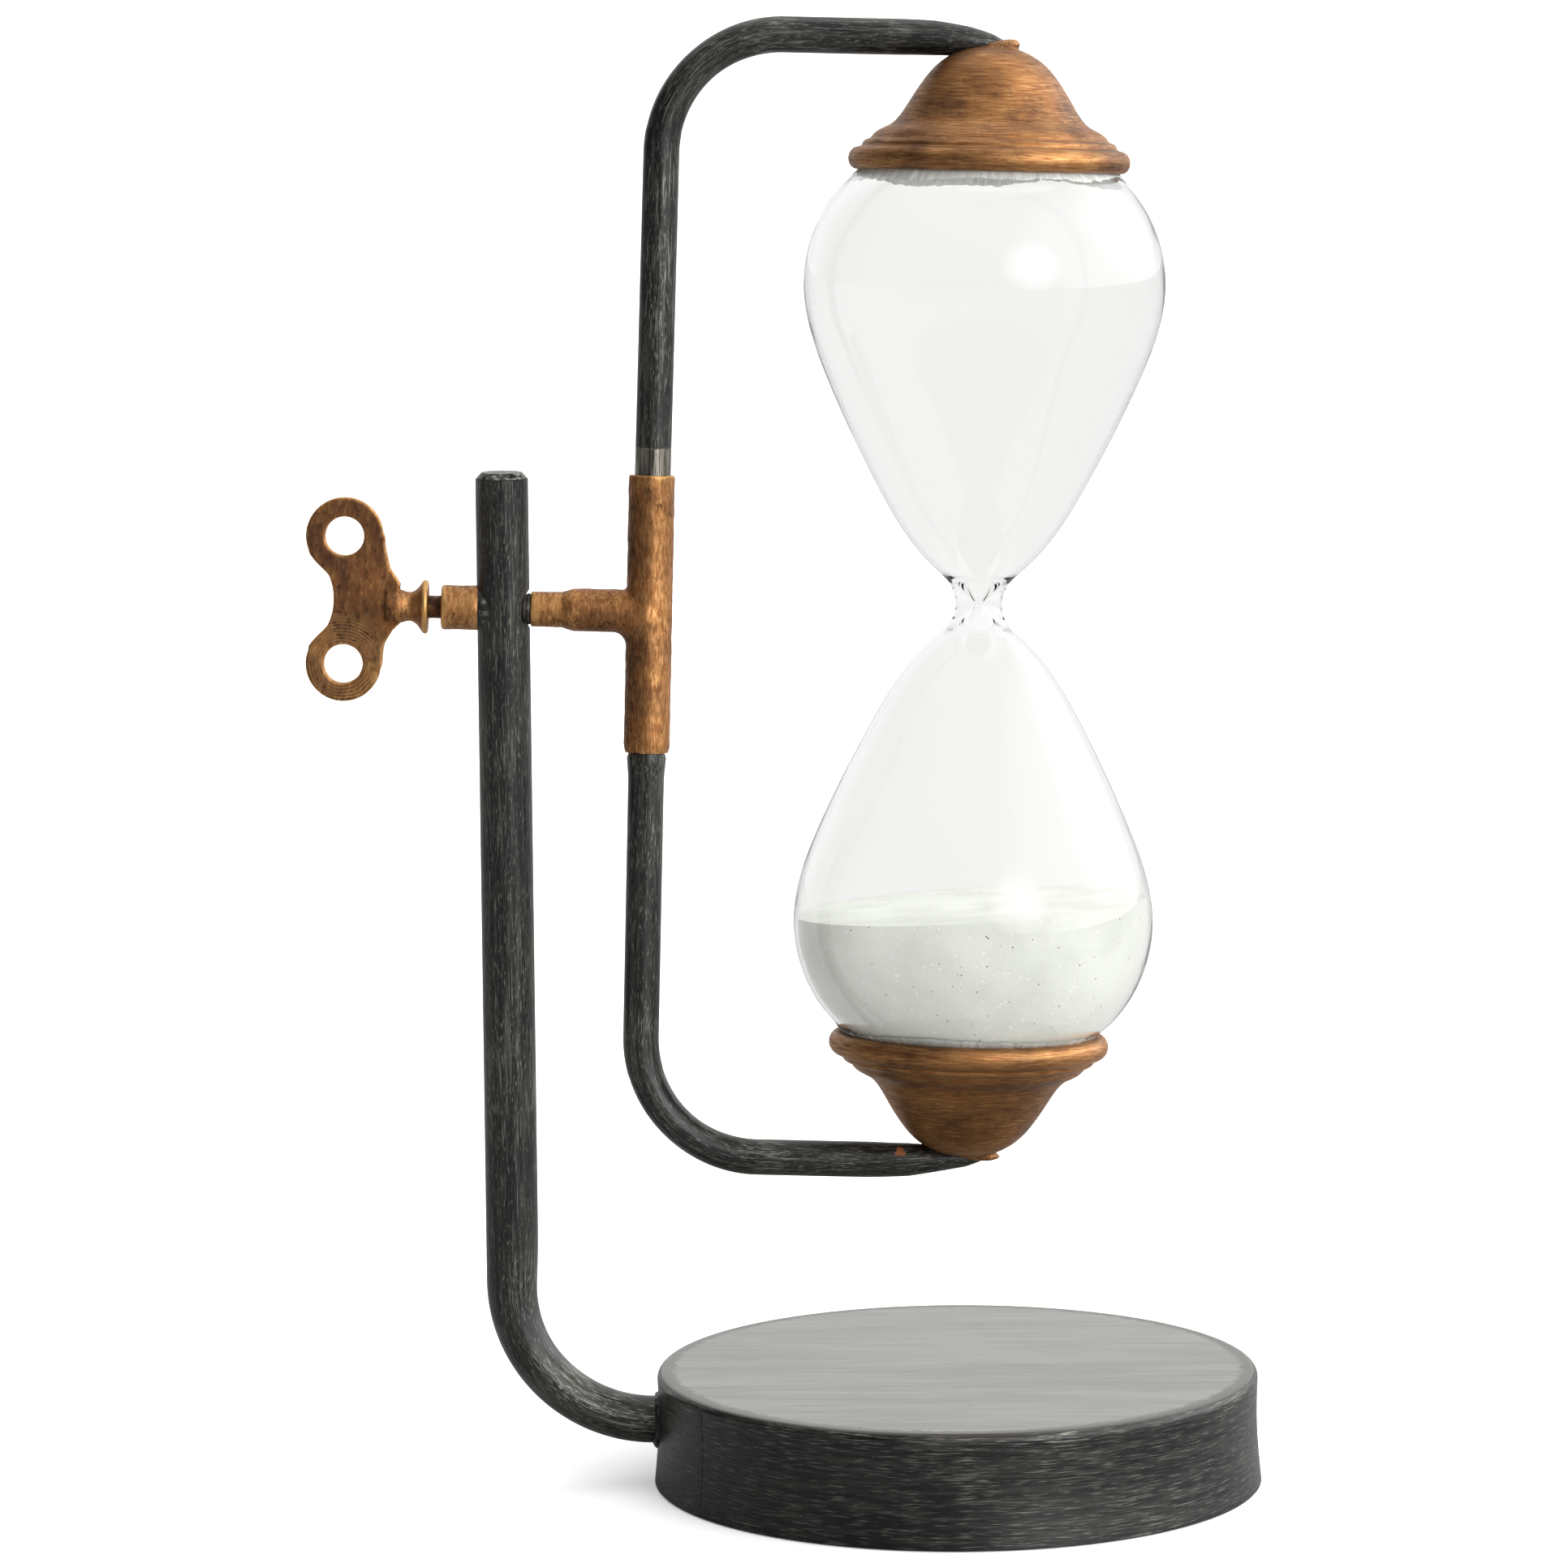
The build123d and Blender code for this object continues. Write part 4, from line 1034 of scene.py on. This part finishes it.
brass_bow = antique_brass("antique_brass_bow", (1500, 1500, 420), gilt=-0.04, pits=0.9, rings=finger_marks)
bow = grow(
    "key_bow_plate", bow_depth,
    (-46.2 * MM, -4.2 * MM, -23.4 * MM), (-23.6 * MM, 4.2 * MM, 26.0 * MM), 0.3 * MM, CARRIER,
    wear_and_highlight=lambda p: np.exp(-np.maximum(-bow_flat(p), 0) / (0.5 * MM)), lumps=0.03 * MM,
)
fit(bow, "carrier", "antique_brass", brass_bow, "key_bow")

# %% [markdown]
# ## The tee
#
# A short pipe brazed across the end of the sleeve, with a generous fillet below and a tight one
# above, and lumps of filler dragged over the joint. The branch is thicker than the sleeve and
# tapers down onto it.

# %% Tee fitting
tee_low, tee_high = span("tee_fitting", CARRIER)
TEE_R = 5.25 * MM
TEE_X = tee_high[0] - TEE_R
TEE_TOP, TEE_FOOT = tee_high[2], tee_low[2]
BRANCH_R, BRANCH_X, TAPER = 4.88 * MM, 15.9 * MM, 2.6 * MM
ROD_R, SLEEVE_R = 4.1 * MM, 4.05 * MM


def tee_depth(p):
    pipe = bar(p, (TEE_X, 0, 0), 2, TEE_R, TEE_FOOT, TEE_TOP, 0.35 * MM)
    branch = bar(p, (0, 0, 0), 0, BRANCH_R, BRANCH_X, TEE_X, 0.6 * MM)
    r = np.hypot(p[:, 1], p[:, 2])
    lean = (BRANCH_R - SLEEVE_R) / TAPER
    taper = np.maximum(r - BRANCH_R + lean * (BRANCH_X - p[:, 0]), np.abs(p[:, 0] - BRANCH_X) - TAPER)
    taper = np.maximum(taper / np.hypot(1, lean), r - BRANCH_R)
    below = np.clip(0.5 - p[:, 2] / (5 * MM), 0, 1)
    fillet = (0.9 + 2.3 * below * below * (3 - 2 * below)) * MM
    drawn_in = np.clip((TEE_FOOT + 2.6 * MM - p[:, 2]) / (2.6 * MM), 0, 1) ** 2 * 0.45 * MM
    whole = join(pipe + drawn_in, np.minimum(branch, taper), fillet)
    turn = np.arctan2(p[:, 1], p[:, 0] - TEE_X)
    ragged = 0.28 * MM * (1 + 0.6 * np.sin(3 * turn + 1) + 0.4 * np.sin(8 * turn))
    whole = np.maximum(whole, TEE_FOOT + ragged - p[:, 2])
    bore = np.hypot(p[:, 0] - TEE_X, p[:, 1]) - (ROD_R + 0.15 * MM)
    return np.maximum(whole, -bore)


# %% Wear and a painted highlight on the tee
def tee_wear_and_highlight(p):
    ends = np.minimum(np.abs(p[:, 2] - TEE_TOP), np.abs(p[:, 2] - TEE_FOOT))
    # Painted highlight: a band of gold right of the pipe's middle, on the front side only, where the light
    # from the right falls.
    bright = np.exp(-(((p[:, 0] - TEE_X - 2.0 * MM) / (2.6 * MM)) ** 2)) * 0.35 * (p[:, 1] < 0)
    crown = np.exp(-(((p[:, 0] - BRANCH_X) / (1.1 * MM)) ** 2)) * (p[:, 0] < TEE_X - TEE_R)
    return np.exp(-ends / (0.6 * MM)) * 0.8 + bright + 0.5 * crown


tee = grow(
    "tee_pipe", tee_depth,
    (12.4 * MM, -6.4 * MM, -34 * MM), (TEE_X + 6.4 * MM, 6.4 * MM, 32.4 * MM), 0.32 * MM, CARRIER,
    wear_and_highlight=tee_wear_and_highlight, lumps=0.10 * MM, lump_size=2.2 * MM,
)
fit(tee, "carrier", "antique_brass", brass_tee, "tee_fitting")

# %% [markdown]
# ## The two arms
#
# Each arm is a solid rod with one bend, drawn down at its end to a wedge that lies on the crown of
# its bell. The upper one was painted before it was pushed home, so a ring of bare steel shows above
# the tee. Under the tee a collar of black solder tapers onto the lower one. The rods are swept,
# then cut to the bell they lie on.

# %% Bell outline
upper_low, upper_high = span("upper_cap", CARRIER)
lower_low, lower_high = span("lower_cap", CARRIER)
GLASS_X = (lower_low[0] + lower_high[0]) / 2
UPPER_MOUTH, LOWER_MOUTH = upper_low[2], lower_high[2]
BELL_H = upper_high[2] - UPPER_MOUTH
BELL_WALL = 1.0 * MM
print("bells", round(BELL_H / MM, 1), "mm high")
cove_knots = [
    (27.3, 7.0), (26.4, 7.9), (22.4, 10.4), (20.1, 12.9), (18.0, 16.3),
    (15.5, 20.2), (12.9, 23.4), (9.9, 25.8), (6.2, 27.5), (0.0, BELL_H / MM),
]
rim_knots = [(30.1, 0.0), (31.3, 0.6), (31.92, 1.9), (31.9, 3.1), (31.3, 4.3), (30.2, 5.0)]
bead_knots = [(29.4, 5.2), (28.95, 5.5), (28.75, 6.0), (28.35, 6.55), (27.7, 6.85)]
cove = curve_through(np.array(cove_knots) * MM, start=(-1, 0.35), end=(-1, 0), step=0.5 * MM)
rim_bulge = curve_through(np.array(rim_knots) * MM, start=(1, 0.05), end=(-1, 0.1), step=0.3 * MM)
bead = curve_through(np.array(bead_knots) * MM, step=0.2 * MM)
bell_face = np.vstack([rim_bulge, bead, cove])


def bell_bench(side, mouth):
    """Bench for a bell: its Z runs from the mouth to the crown."""
    turn = Matrix() if side > 0 else Matrix.Rotation(pi, 4, "X")
    return CARRIER @ Matrix.Translation((GLASS_X, 0, mouth)) @ turn


def bell_solid(side, mouth):
    """A bell as one solid, to cut the rod to the crown it lies on."""
    rows = np.vstack([[(0, 2 * MM)], [(25 * MM, 2 * MM)], cove])
    return lathe("cutter", rows, bell_bench(side, mouth), 120)


# %% [markdown]
# A rod's centre line is a rise, a round bend and the forged tip. Its half width and half height change
# on the way: round in the straight, a little flat in the bend, drawn down to a wedge at the tip.

# %% Rods
UPPER_Z, LOWER_Z, ROD_BEND = 131.2 * MM, -124.6 * MM, 27.2 * MM
UPPER_LEAN = 0.7 * MM
BARE_TOP = 37.2 * MM
RISE_ROWS, BEND_ROWS = 70, 40
BEND_MIDDLE = RISE_ROWS + 18
UPPER_PHASE, LOWER_PHASE = 0.3, 0.9


def bent_line(start_z, end_z, lean, side, tip):
    """Centre line: along the glass, round the bend, out to the forged tip."""
    corner = np.array([TEE_X + lean, end_z - side * ROD_BEND])
    rise = np.linspace((TEE_X, start_z), corner, RISE_ROWS, endpoint=False)
    bend = arc((corner[0] + ROD_BEND, corner[1]), ROD_BEND, 180, 180 - 90 * side, BEND_ROWS)
    out = curve_through([bend[-1], *tip], start=(1, 0), step=1.2 * MM)[1:]
    return np.vstack([rise, bend, out])


def forged(line, tip_x, tip, bend_x):
    """Half width and half height at each point: round, a little flat in the bend, wedge at the tip."""
    wide, high = np.interp(line[:, 0], tip_x, tip[0]), np.interp(line[:, 0], tip_x, tip[1])
    middle = np.exp(-(((line[:, 0] - bend_x) / (9 * MM)) ** 2)) * (line[:, 0] > TEE_X + 1.2 * MM)
    return np.column_stack([wide * (1 + 0.02 * middle), high * (1 - 0.045 * middle)])


def arm(name, start_z, end_z, lean, side, tip, widths, bell):
    line = bent_line(start_z, end_z, lean, side, tip)
    tip_x = np.array([0, 86, 95, 103, 108, 111.5]) * MM
    radii = forged(line, tip_x, np.array(widths) * MM, TEE_X + 9 * MM)
    along = run_length(line)
    bent = np.exp(-(((along - along[BEND_MIDDLE]) / (24 * MM)) ** 2)) * 0.06
    if side < 0:
        collar = np.clip((line[:, 1] - (TEE_FOOT - 5.5 * MM)) / (5 * MM), 0, 1) * (line[:, 1] < TEE_FOOT)
        radii = radii + (0.42 * MM * collar)[:, None]
    made = sweep(name, line, radii, CARRIER, 56, bent, phase=UPPER_PHASE if side > 0 else LOWER_PHASE)
    return cut_away(made, bell)


upper_tip = [(87.5, 131.2), (95.0, 131.1), (101.5, 130.6), (106.5, 130.0), (111.3, 129.1)]
lower_tip = [(87.5, -124.6), (96.0, -124.4), (103.0, -123.9), (108.0, -123.6), (111.3, -123.3)]
upper_arm = arm(
    "upper_arm_rod", 6 * MM, UPPER_Z, UPPER_LEAN, 1, np.array(upper_tip) * MM,
    [(4.1, 4.1, 4.1, 3.9, 3.3, 2.4), (4.1, 4.1, 3.95, 3.35, 2.5, 1.3)], bell_solid(1, UPPER_MOUTH),
)
lower_arm = arm(
    "lower_arm_rod", -6 * MM, LOWER_Z, 0.0, -1, np.array(lower_tip) * MM,
    [(4.1, 4.1, 4.1, 3.9, 3.3, 2.4), (4.1, 4.1, 3.8, 2.9, 2.2, 1.2)], bell_solid(-1, LOWER_MOUTH),
)


def keep_bare(piece, low, high):
    """Mark where the paint never reached, as a share that fades over a millimetre."""
    home = CARRIER.inverted()
    x, _, z = np.array([home @ v.co for v in piece.data.vertices]).T
    below_high = np.clip((high - z) / (2 * MM) + 0.5, 0, 1)
    above_low = np.clip((z - low) / (2 * MM) + 0.5, 0, 1)
    bare = below_high * above_low * (x < 45 * MM)
    marks = piece.data.attributes.new("bare", "FLOAT", "POINT")
    marks.data.foreach_set("value", bare.astype(np.float32))


keep_bare(upper_arm, TEE_TOP - 6 * MM, BARE_TOP)


# %% [markdown]
# The upper rod keeps its band of bare steel as a third value on the mesh. The lower one has lost a
# chip of paint near its tip, and the brown under it shows.

# %% Paint the arms
rod_half_painted = black_iron("black_iron_upper_rod", ROD_GRAIN, bare=True)
CHIP = (-3.3 * MM, 2.3 * MM, LOWER_PHASE + 166.8 * MM)
rod_chipped = black_iron("black_iron_lower_rod", ROD_GRAIN, chip=CHIP)
fit(upper_arm, "carrier", "black_iron", rod_half_painted, "upper_arm")
fit(lower_arm, "carrier", "black_iron", rod_chipped, "lower_arm")

# %% [markdown]
# ## The bells
#
# Each bell was spun from brass sheet over a former: a full round rim, a small bead, a hollow cove
# and a round dome. The outline is turned with its real wall, so the rim is a real lip when you look
# up into it.

# %% Bells
inner_cove = cove[2:] - [0.9 * MM, 0.75 * MM]
inner_cove[-1] = (0, BELL_H - BELL_WALL)
inner_cove[:, 0] = np.maximum(inner_cove[:, 0], 0)
inner_rim = np.array([(26.6, 6.1), (29.0, 3.6), (29.9, 2.6), (29.95, 0.4)]) * MM
bell_outline = np.vstack([bell_face, inner_cove[::-1], inner_rim])
rim_rows = np.arange(len(bell_outline))
bell_wear = np.where(rim_rows < len(rim_bulge), 0.25, 0.0)
bell_wear[len(rim_bulge) + 1 : len(rim_bulge) + 2 + len(bead)] = 0.12


def bell(name, side, mouth, node, seed):
    made = lathe(name, bell_outline, bell_bench(side, mouth), 200, bell_wear, uneven=0.16 * MM, seed=seed)
    return fit(made, "carrier", "antique_brass", brass_bell, node)


bell("upper_bell", 1, UPPER_MOUTH, "upper_cap", 3.0)
bell("lower_bell", -1, LOWER_MOUTH, "lower_cap", 8.0)

# %% [markdown]
# The tips are brazed to the crowns. The filler ran on past each tip and was left as a few soft
# lumps, browned and touched with gold like the bells.

# %% Braze
def dome_depth(p, side, mouth):
    """Depth under the outside of a bell's dome."""
    r = np.hypot(p[:, 0] - GLASS_X, p[:, 1])
    inward = cove[::-1]
    height = np.interp(r, inward[:, 0], inward[:, 1])
    slope = np.interp(r, inward[:, 0], np.gradient(inward[:, 1], inward[:, 0]))
    return (side * (p[:, 2] - mouth) - height) / np.hypot(1, slope)


def braze(name, side, mouth, lumps, node):
    crown = mouth + side * BELL_H

    def depth(p):
        whole = dome_depth(p, side, mouth) + 0.18 * MM
        for x, y, z, half in lumps:
            lump = blob(p, (x * MM, y * MM, crown + side * z * MM), np.array(half) * MM)
            whole = join(whole, lump, 1.1 * MM)
        spread = np.hypot(p[:, 0] - lumps[0][0] * MM - 1.5 * MM, p[:, 1]) * 0.8
        return np.maximum(whole, np.hypot(spread, p[:, 2] - crown) - 7.0 * MM)

    low = np.array([102 * MM, -10 * MM, crown - (4 if side > 0 else 3) * MM])
    high = np.array([121 * MM, 10 * MM, crown + (3 if side > 0 else 4) * MM])
    made = grow(
        name, depth, low, high, 0.3 * MM, CARRIER, lumps=0.10 * MM,
        wear_and_highlight=lambda p: np.clip(side * (p[:, 2] - crown) / (1.2 * MM), 0, 1) * 0.7,
    )
    cut_away(made, bell_hollow(side, mouth))
    return fit(made, "carrier", "antique_brass", brass_tee, node)


def bell_hollow(side, mouth):
    """Room inside a bell, to cut off what would hang down into it."""
    rows = np.vstack([[(0, -2 * MM)], [(20 * MM, -2 * MM)], inner_cove[6:]])
    return lathe("cutter", rows, bell_bench(side, mouth), 96)


braze(
    "upper_braze_lump", 1, UPPER_MOUTH,
    [(109.6, -1.6, 0.1, (3.0, 2.4, 1.0)), (112.6, -0.6, 0.35, (1.7, 2.0, 1.15)),
     (109.0, 2.2, -0.1, (3.2, 1.8, 1.0))],
    "upper_braze",
)
braze(
    "lower_braze_lump", -1, LOWER_MOUTH,
    [(110.5, -1.4, -0.1, (3.4, 2.2, 0.8)), (113.0, 0.4, -0.1, (2.4, 2.2, 0.7)),
     (110.0, 2.0, -0.2, (3.0, 1.8, 0.8))],
    "lower_braze",
)

# %% [markdown]
# ## The blown glass
#
# Two bulbs drawn out of one tube. The wall is thin at the bulbs and very thick at the waist, where
# the bore is under two millimetres, and it is this thick waist that bends the light into pale
# commas. So inside and outside are two different outlines, joined into one closed shell round the
# filling hole at the top.

# %% Glass outlines
NECK_Z = 3.3 * MM
GLASS_TILT = radians(-0.32)
GLASS_WALL = 0.85 * MM
GLASS = CARRIER @ Matrix.Translation((GLASS_X, 0, NECK_Z)) @ Matrix.Rotation(GLASS_TILT, 4, "Y")
bulb_knots = [
    (5.25, 0.0), (6.15, 3.6), (10.4, 8.2), (24.2, 27.7), (35.2, 50.4),
    (41.0, 71.5), (38.3, 85.7), (29.5, 97.5), (14.5, 104.0), (0.0, 105.6),
]
waist_knots = [(0.85, 0), (1.3, 1.0), (3.7, 3.8), (6.7, 6.3)]
half_outside = curve_through(np.array(bulb_knots) * MM, start=(0, 1), end=(-1, 0), step=0.7 * MM)
way = np.gradient(half_outside, axis=0)
way /= np.linalg.norm(way, axis=1)[:, None]
offset = half_outside - np.column_stack([way[:, 1], -way[:, 0]]) * GLASS_WALL
far_enough = half_outside[:, 1] > 9.5 * MM
half_inside = curve_through(
    np.vstack([np.array(waist_knots) * MM, offset[far_enough][::6]]), start=(0, 1), step=0.6 * MM
)
half_inside[:, 0] = np.maximum(half_inside[:, 0], 0)
FILL_R = 5.0 * MM


# %% Glass shell
def open_shell():
    """Bulbs open at the filling hole: outer skin down to the lower crown, inner skin back up."""
    top_out = half_outside[(half_outside[:, 0] > FILL_R) | (half_outside[:, 1] < 50 * MM)]
    top_in = half_inside[(half_inside[:, 0] > FILL_R) | (half_inside[:, 1] < 50 * MM)]
    outer = np.vstack([top_out[::-1], half_outside[1:-1] * [1, -1]])
    inner = np.vstack([top_in[::-1], half_inside[1:-1] * [1, -1]])
    return outer, inner


def closed_glass():
    """Two skins in one mesh: the space between them is glass."""
    outer, inner = open_shell()
    out_skin = lathe("glass_bulbs", outer, GLASS, 176)
    in_skin = lathe("glass_inside", inner[::-1], GLASS, 176)
    in_skin.data.flip_normals()
    pair = [out_skin, in_skin]
    with bpy.context.temp_override(active_object=out_skin, selected_editable_objects=pair):
        bpy.ops.object.join()
    return out_skin


fit(closed_glass(), "carrier", "clear_glass", glass_clear, "glass_bulb")

# %% [markdown]
# ## The sand
#
# The sand fills the lower bulb to the level it fell to, tilted a little because the whole glass was
# leaning when it ran. It is a skin of rings too: out along the inside of the glass up to where the
# tilted surface meets it, each spoke at its own height, and back across the top with a few low
# ridges.

# %% Sand
SAND_LEVEL, SAND_TILT, SAND_GAP = 68.9 * MM, radians(4.4), 0.10 * MM
SAND_DEEPEST = 103.6 * MM


def sand_skin():
    spokes = np.linspace(0, tau, 200, endpoint=False)
    wall = half_inside[half_inside[:, 1] > 40 * MM]
    distance, radius = wall[::-1, 1], wall[::-1, 0] - SAND_GAP
    surface = np.full(len(spokes), SAND_LEVEL)
    for _ in range(12):
        reach = np.interp(-surface, -distance, radius)
        surface = SAND_LEVEL - reach * np.cos(spokes) * np.tan(SAND_TILT)
    rings = []
    for share in np.linspace(0, 1, 70) ** 0.8:
        height = SAND_DEEPEST - share * (SAND_DEEPEST - surface)
        r = np.interp(-height, -distance, radius) if share > 0 else np.full(len(spokes), 6.0 * MM)
        r = np.maximum(r, 0.2 * MM)
        rings.append(np.column_stack([r * np.cos(spokes), r * np.sin(spokes), -height]))
    rim_r = np.hypot(rings[-1][:, 0], rings[-1][:, 1])
    for share in np.linspace(1, 0, 60)[1:]:
        r = np.maximum(rim_r * share, 0.02 * MM)
        x, y = r * np.cos(spokes), r * np.sin(spokes)
        dunes = [noise.noise(Vector((a * 55, b * 90, 0.5))) * 0.35 for a, b in zip(x, y)]
        grit = [noise.noise(Vector((a * 260, b * 260, 3.0))) * 0.10 for a, b in zip(x, y)]
        fall = (np.array(dunes) + np.array(grit)) * MM * min(1.0, (1 - share) * 12)
        rings.append(np.column_stack([x, y, -(SAND_LEVEL - x * np.tan(SAND_TILT)) + fall]))
    return skin("sand_heap", rings, rings, bench=GLASS)


fit(sand_skin(), "carrier", "pale_sand", sand_pale, "sand")

# %% [markdown]
# ## Clear adhesive
#
# The glass is set into the rims with clear glue, and none of it is tidy. A wrinkled bead lies in
# the corner between the rim and the glass, wide in some places and missing in others, with a curl
# of it pulled out at one side. The bead is a ring whose width follows a slow noise round the mouth.

# %% Glue beads
def glue_bead(name, side, mouth, node, widths, seed):
    spokes = np.linspace(0, tau, 360, endpoint=False)
    bench = CARRIER @ Matrix.Translation((GLASS_X, 0, 0))
    lip = 29.9 * MM
    rings, grain = [], []

    def around(pace, layer):
        """Noise met on the way round the mouth: a higher pace gives more waves."""
        return np.array([noise.noise(Vector((pace * cos(a), pace * sin(a), seed + layer))) for a in spokes])

    slow, quick, teeth = around(1.6, 0), around(14, 4), around(46, 9)
    reach = np.maximum(widths[0] + widths[1] * slow + widths[2] * quick + 0.25 * MM * teeth, 0.35 * MM)
    for step in np.linspace(0, tau, 14, endpoint=False):
        share = 0.5 - 0.5 * cos(step)
        z = mouth + side * (1.6 * MM - share * (reach + 1.6 * MM))
        distance = side * (z - NECK_Z)
        wall = np.interp(distance, half_outside[:, 1], half_outside[:, 0])
        thick = (0.18 * MM + 0.35 * MM * (1 - share)) * max(0.0, sin(step)) * (1 + 0.7 * quick) * 1.6
        r = wall + 0.03 * MM + np.maximum(thick, 0) - (0.25 * MM if sin(step) < -0.01 else 0)
        across, deep = np.cos(spokes), np.sin(spokes)
        rings.append(np.column_stack([r * across, r * deep, np.broadcast_to(z, len(spokes))]))
        grain.append(np.column_stack([np.full(len(spokes), step * MM), lip * across, lip * deep]))
    made = skin(name, rings, grain, bench=bench, loop=True)
    return fit(made, "carrier", "clear_adhesive", glue_clear, node)


glue_bead("upper_glue_bead", 1, UPPER_MOUTH, "upper_glue_ring", (1.7 * MM, 2.2 * MM, 0.5 * MM), 2.0)
glue_bead("lower_glue_bead", -1, LOWER_MOUTH, "lower_glue_ring", (1.2 * MM, 0.9 * MM, 0.5 * MM), 6.0)

# %% [markdown]
# ## What stays as the frame made it
#
# The ballast, the bottom plate with its screws, the felt sole, the spindle, the liners and the cork
# are right as they are. They only need their finishes.

# %% Finishes for the frame's own nodes
kept_finishes = {
    "base_weight": iron_plain, "base_bottom_plate": iron_plain, "bottom_plate_screws": steel_plain,
    "base_felt": felt_black, "spindle": steel_plain, "upper_liner": cork_brown, "lower_liner": cork_brown,
    "fill_plug": cork_brown,
}
for node, finish in kept_finishes.items():
    materials = frame["nodes"][node].data.materials
    materials.clear()
    materials.append(finish)
print("kept nodes:", ", ".join(sorted(kept_finishes)))

# %% [markdown]
# ## Table, light and camera
#
# A pale table and a pale room give the glass something to be clear against. The room itself does
# most of the lighting: it is bright behind and above, dim in front, and has three soft windows. The
# widest, on the right, makes the bright stripe on every rod, a small one in front touches the faces
# turned to us, and one behind lights the rims. Behind the glass the room and the table are more
# even, or each bulb would hold a dark picture of them upside down, and the table throws little
# light up under the rods. Two weak soft lamps, left and above, fill what is left.

# %% Floor
TABLE = 40.0
corners = [(-TABLE, -TABLE, 0), (TABLE, -TABLE, 0), (TABLE, TABLE, 0), (-TABLE, TABLE, 0)]
floor_mesh = bpy.data.meshes.new("floor")
floor_mesh.from_pydata(corners, [], [(0, 1, 2, 3)])
floor = bpy.data.objects.new("floor", floor_mesh)
bpy.context.scene.collection.objects.link(floor)
paper = Finish("floor_paper")
fibre = paper.cloud(paper.place(), 30.0, 3, 0.5)
white = paper.blend(fibre, (0.90, 0.90, 0.895, 1), (0.93, 0.93, 0.925, 1))
glow = {"Emission Color": (1, 1, 1, 1), "Emission Strength": 0.3}
sheet = paper.node("ShaderNodeBsdfPrincipled", {}, {"Base Color": white, "Roughness": 0.9, **glow})
dull = paper.node("ShaderNodeBsdfDiffuse", {}, {"Color": (0.40, 0.40, 0.40, 1)})
seen = paper.node("ShaderNodeLightPath", output="Is Camera Ray")
table_top = paper.node("ShaderNodeMixShader", {}, {0: seen, 1: dull, 2: sheet})
behind_glass = paper.node("ShaderNodeLightPath", output="Is Transmission Ray")
even = paper.node("ShaderNodeEmission", {}, {"Color": (0.925, 0.925, 0.915, 1), "Strength": 1.0})
floor_mesh.materials.append(
    paper.close(paper.node("ShaderNodeMixShader", {}, {0: behind_glass, 1: table_top, 2: even}))
)

# %% Room light
WINDOWS = {  # way to its middle, cosine at its edge and where it is full, brightness
    "right": ((0.86, -0.36, 0.36), 0.68, 1.0, 3.1),
    "front": ((0.75, -1.35, 0.45), 0.93, 0.999, 6.8),
    "behind": ((0.85, 0.40, 0.40), 0.8, 1.0, 2.6),
}
world = bpy.data.worlds.new("pale_room")
bpy.context.scene.world = world
world.use_nodes = True
room = Finish.of(world.node_tree)
direction = room.node("ShaderNodeTexCoord", output="Generated")
behind = room.vectors("DOT_PRODUCT", direction, (0.6, 0.8, 0.0), "Value")
height = room.node("ShaderNodeSeparateXYZ", inputs={0: direction}, output="Z")
rightward = room.node("ShaderNodeSeparateXYZ", inputs={0: direction}, output="X")
backdrop = room.ease(behind, -0.25, 0.35)
ceiling = room.ease(height + rightward * 0.4, 0.25, 0.75)
bright = room.math("MAXIMUM", backdrop, ceiling * 0.9)
windows = 0
for way, edge, full, power in WINDOWS.values():
    towards = room.vectors("DOT_PRODUCT", direction, Vector(way).normalized(), "Value")
    windows = windows + room.ease(towards, edge, full) * power
open_air = bright * 0.94 + 0.06 + windows
in_glass = bright * 0.27 + 0.70
through = room.node("ShaderNodeLightPath", output="Is Transmission Ray")
strength = open_air + through * (in_glass - open_air)
print("windows:", ", ".join(WINDOWS))
air = room.node("ShaderNodeBackground", inputs={"Color": (1, 1, 1, 1), "Strength": strength})
world_out = world.node_tree.nodes.new("ShaderNodeOutputWorld")
world.node_tree.links.new(air.socket, world_out.inputs["Surface"])


# %% Lamps
def soft_lamp(name, place, size, power):
    """Round soft lamp turned towards the middle of the object."""
    data = bpy.data.lights.new(name, "AREA")
    data.shape = "ELLIPSE"
    data.size, data.size_y = size
    data.energy = power
    lamp = bpy.data.objects.new(name, data)
    aim = (MIDDLE - Vector(place)).to_track_quat("-Z", "Y")
    lamp.matrix_world = Matrix.Translation(place) @ aim.to_matrix().to_4x4()
    bpy.context.scene.collection.objects.link(lamp)


MIDDLE = Vector((0, 0, 0.17))
soft_lamp("lamp_left", (-1.3, -0.6, 0.5), (0.5, 0.9), 0.2)
soft_lamp("lamp_top", (0.1, 0.35, 1.7), (1.4, 1.2), 4)

# %% [markdown]
# The camera stands in front and a little above, with a long lens, so that the upright and the arms stay
# nearly parallel. It looks down by some eight degrees and is rolled by half of one.

# %% Camera
CAMERA_PLACE = Vector((-0.0389, -1.5607, 0.3764))
CAMERA_DOWN, CAMERA_ROLL = radians(7.80), radians(-0.486)
SENSOR, LENS = 36, 158.4
camera_data = bpy.data.cameras.new("camera")
camera_data.sensor_width = SENSOR
camera_data.lens = LENS
camera_data.clip_end = 200
camera = bpy.data.objects.new("camera", camera_data)
camera_turn = Matrix.Rotation(pi / 2 - CAMERA_DOWN, 4, "X") @ Matrix.Rotation(CAMERA_ROLL, 4, "Z")
camera.matrix_world = Matrix.Translation(CAMERA_PLACE) @ camera_turn
bpy.context.scene.collection.objects.link(camera)
bpy.context.scene.camera = camera
bpy.context.scene.view_settings.view_transform = "Standard"
print("lens", LENS, "mm")
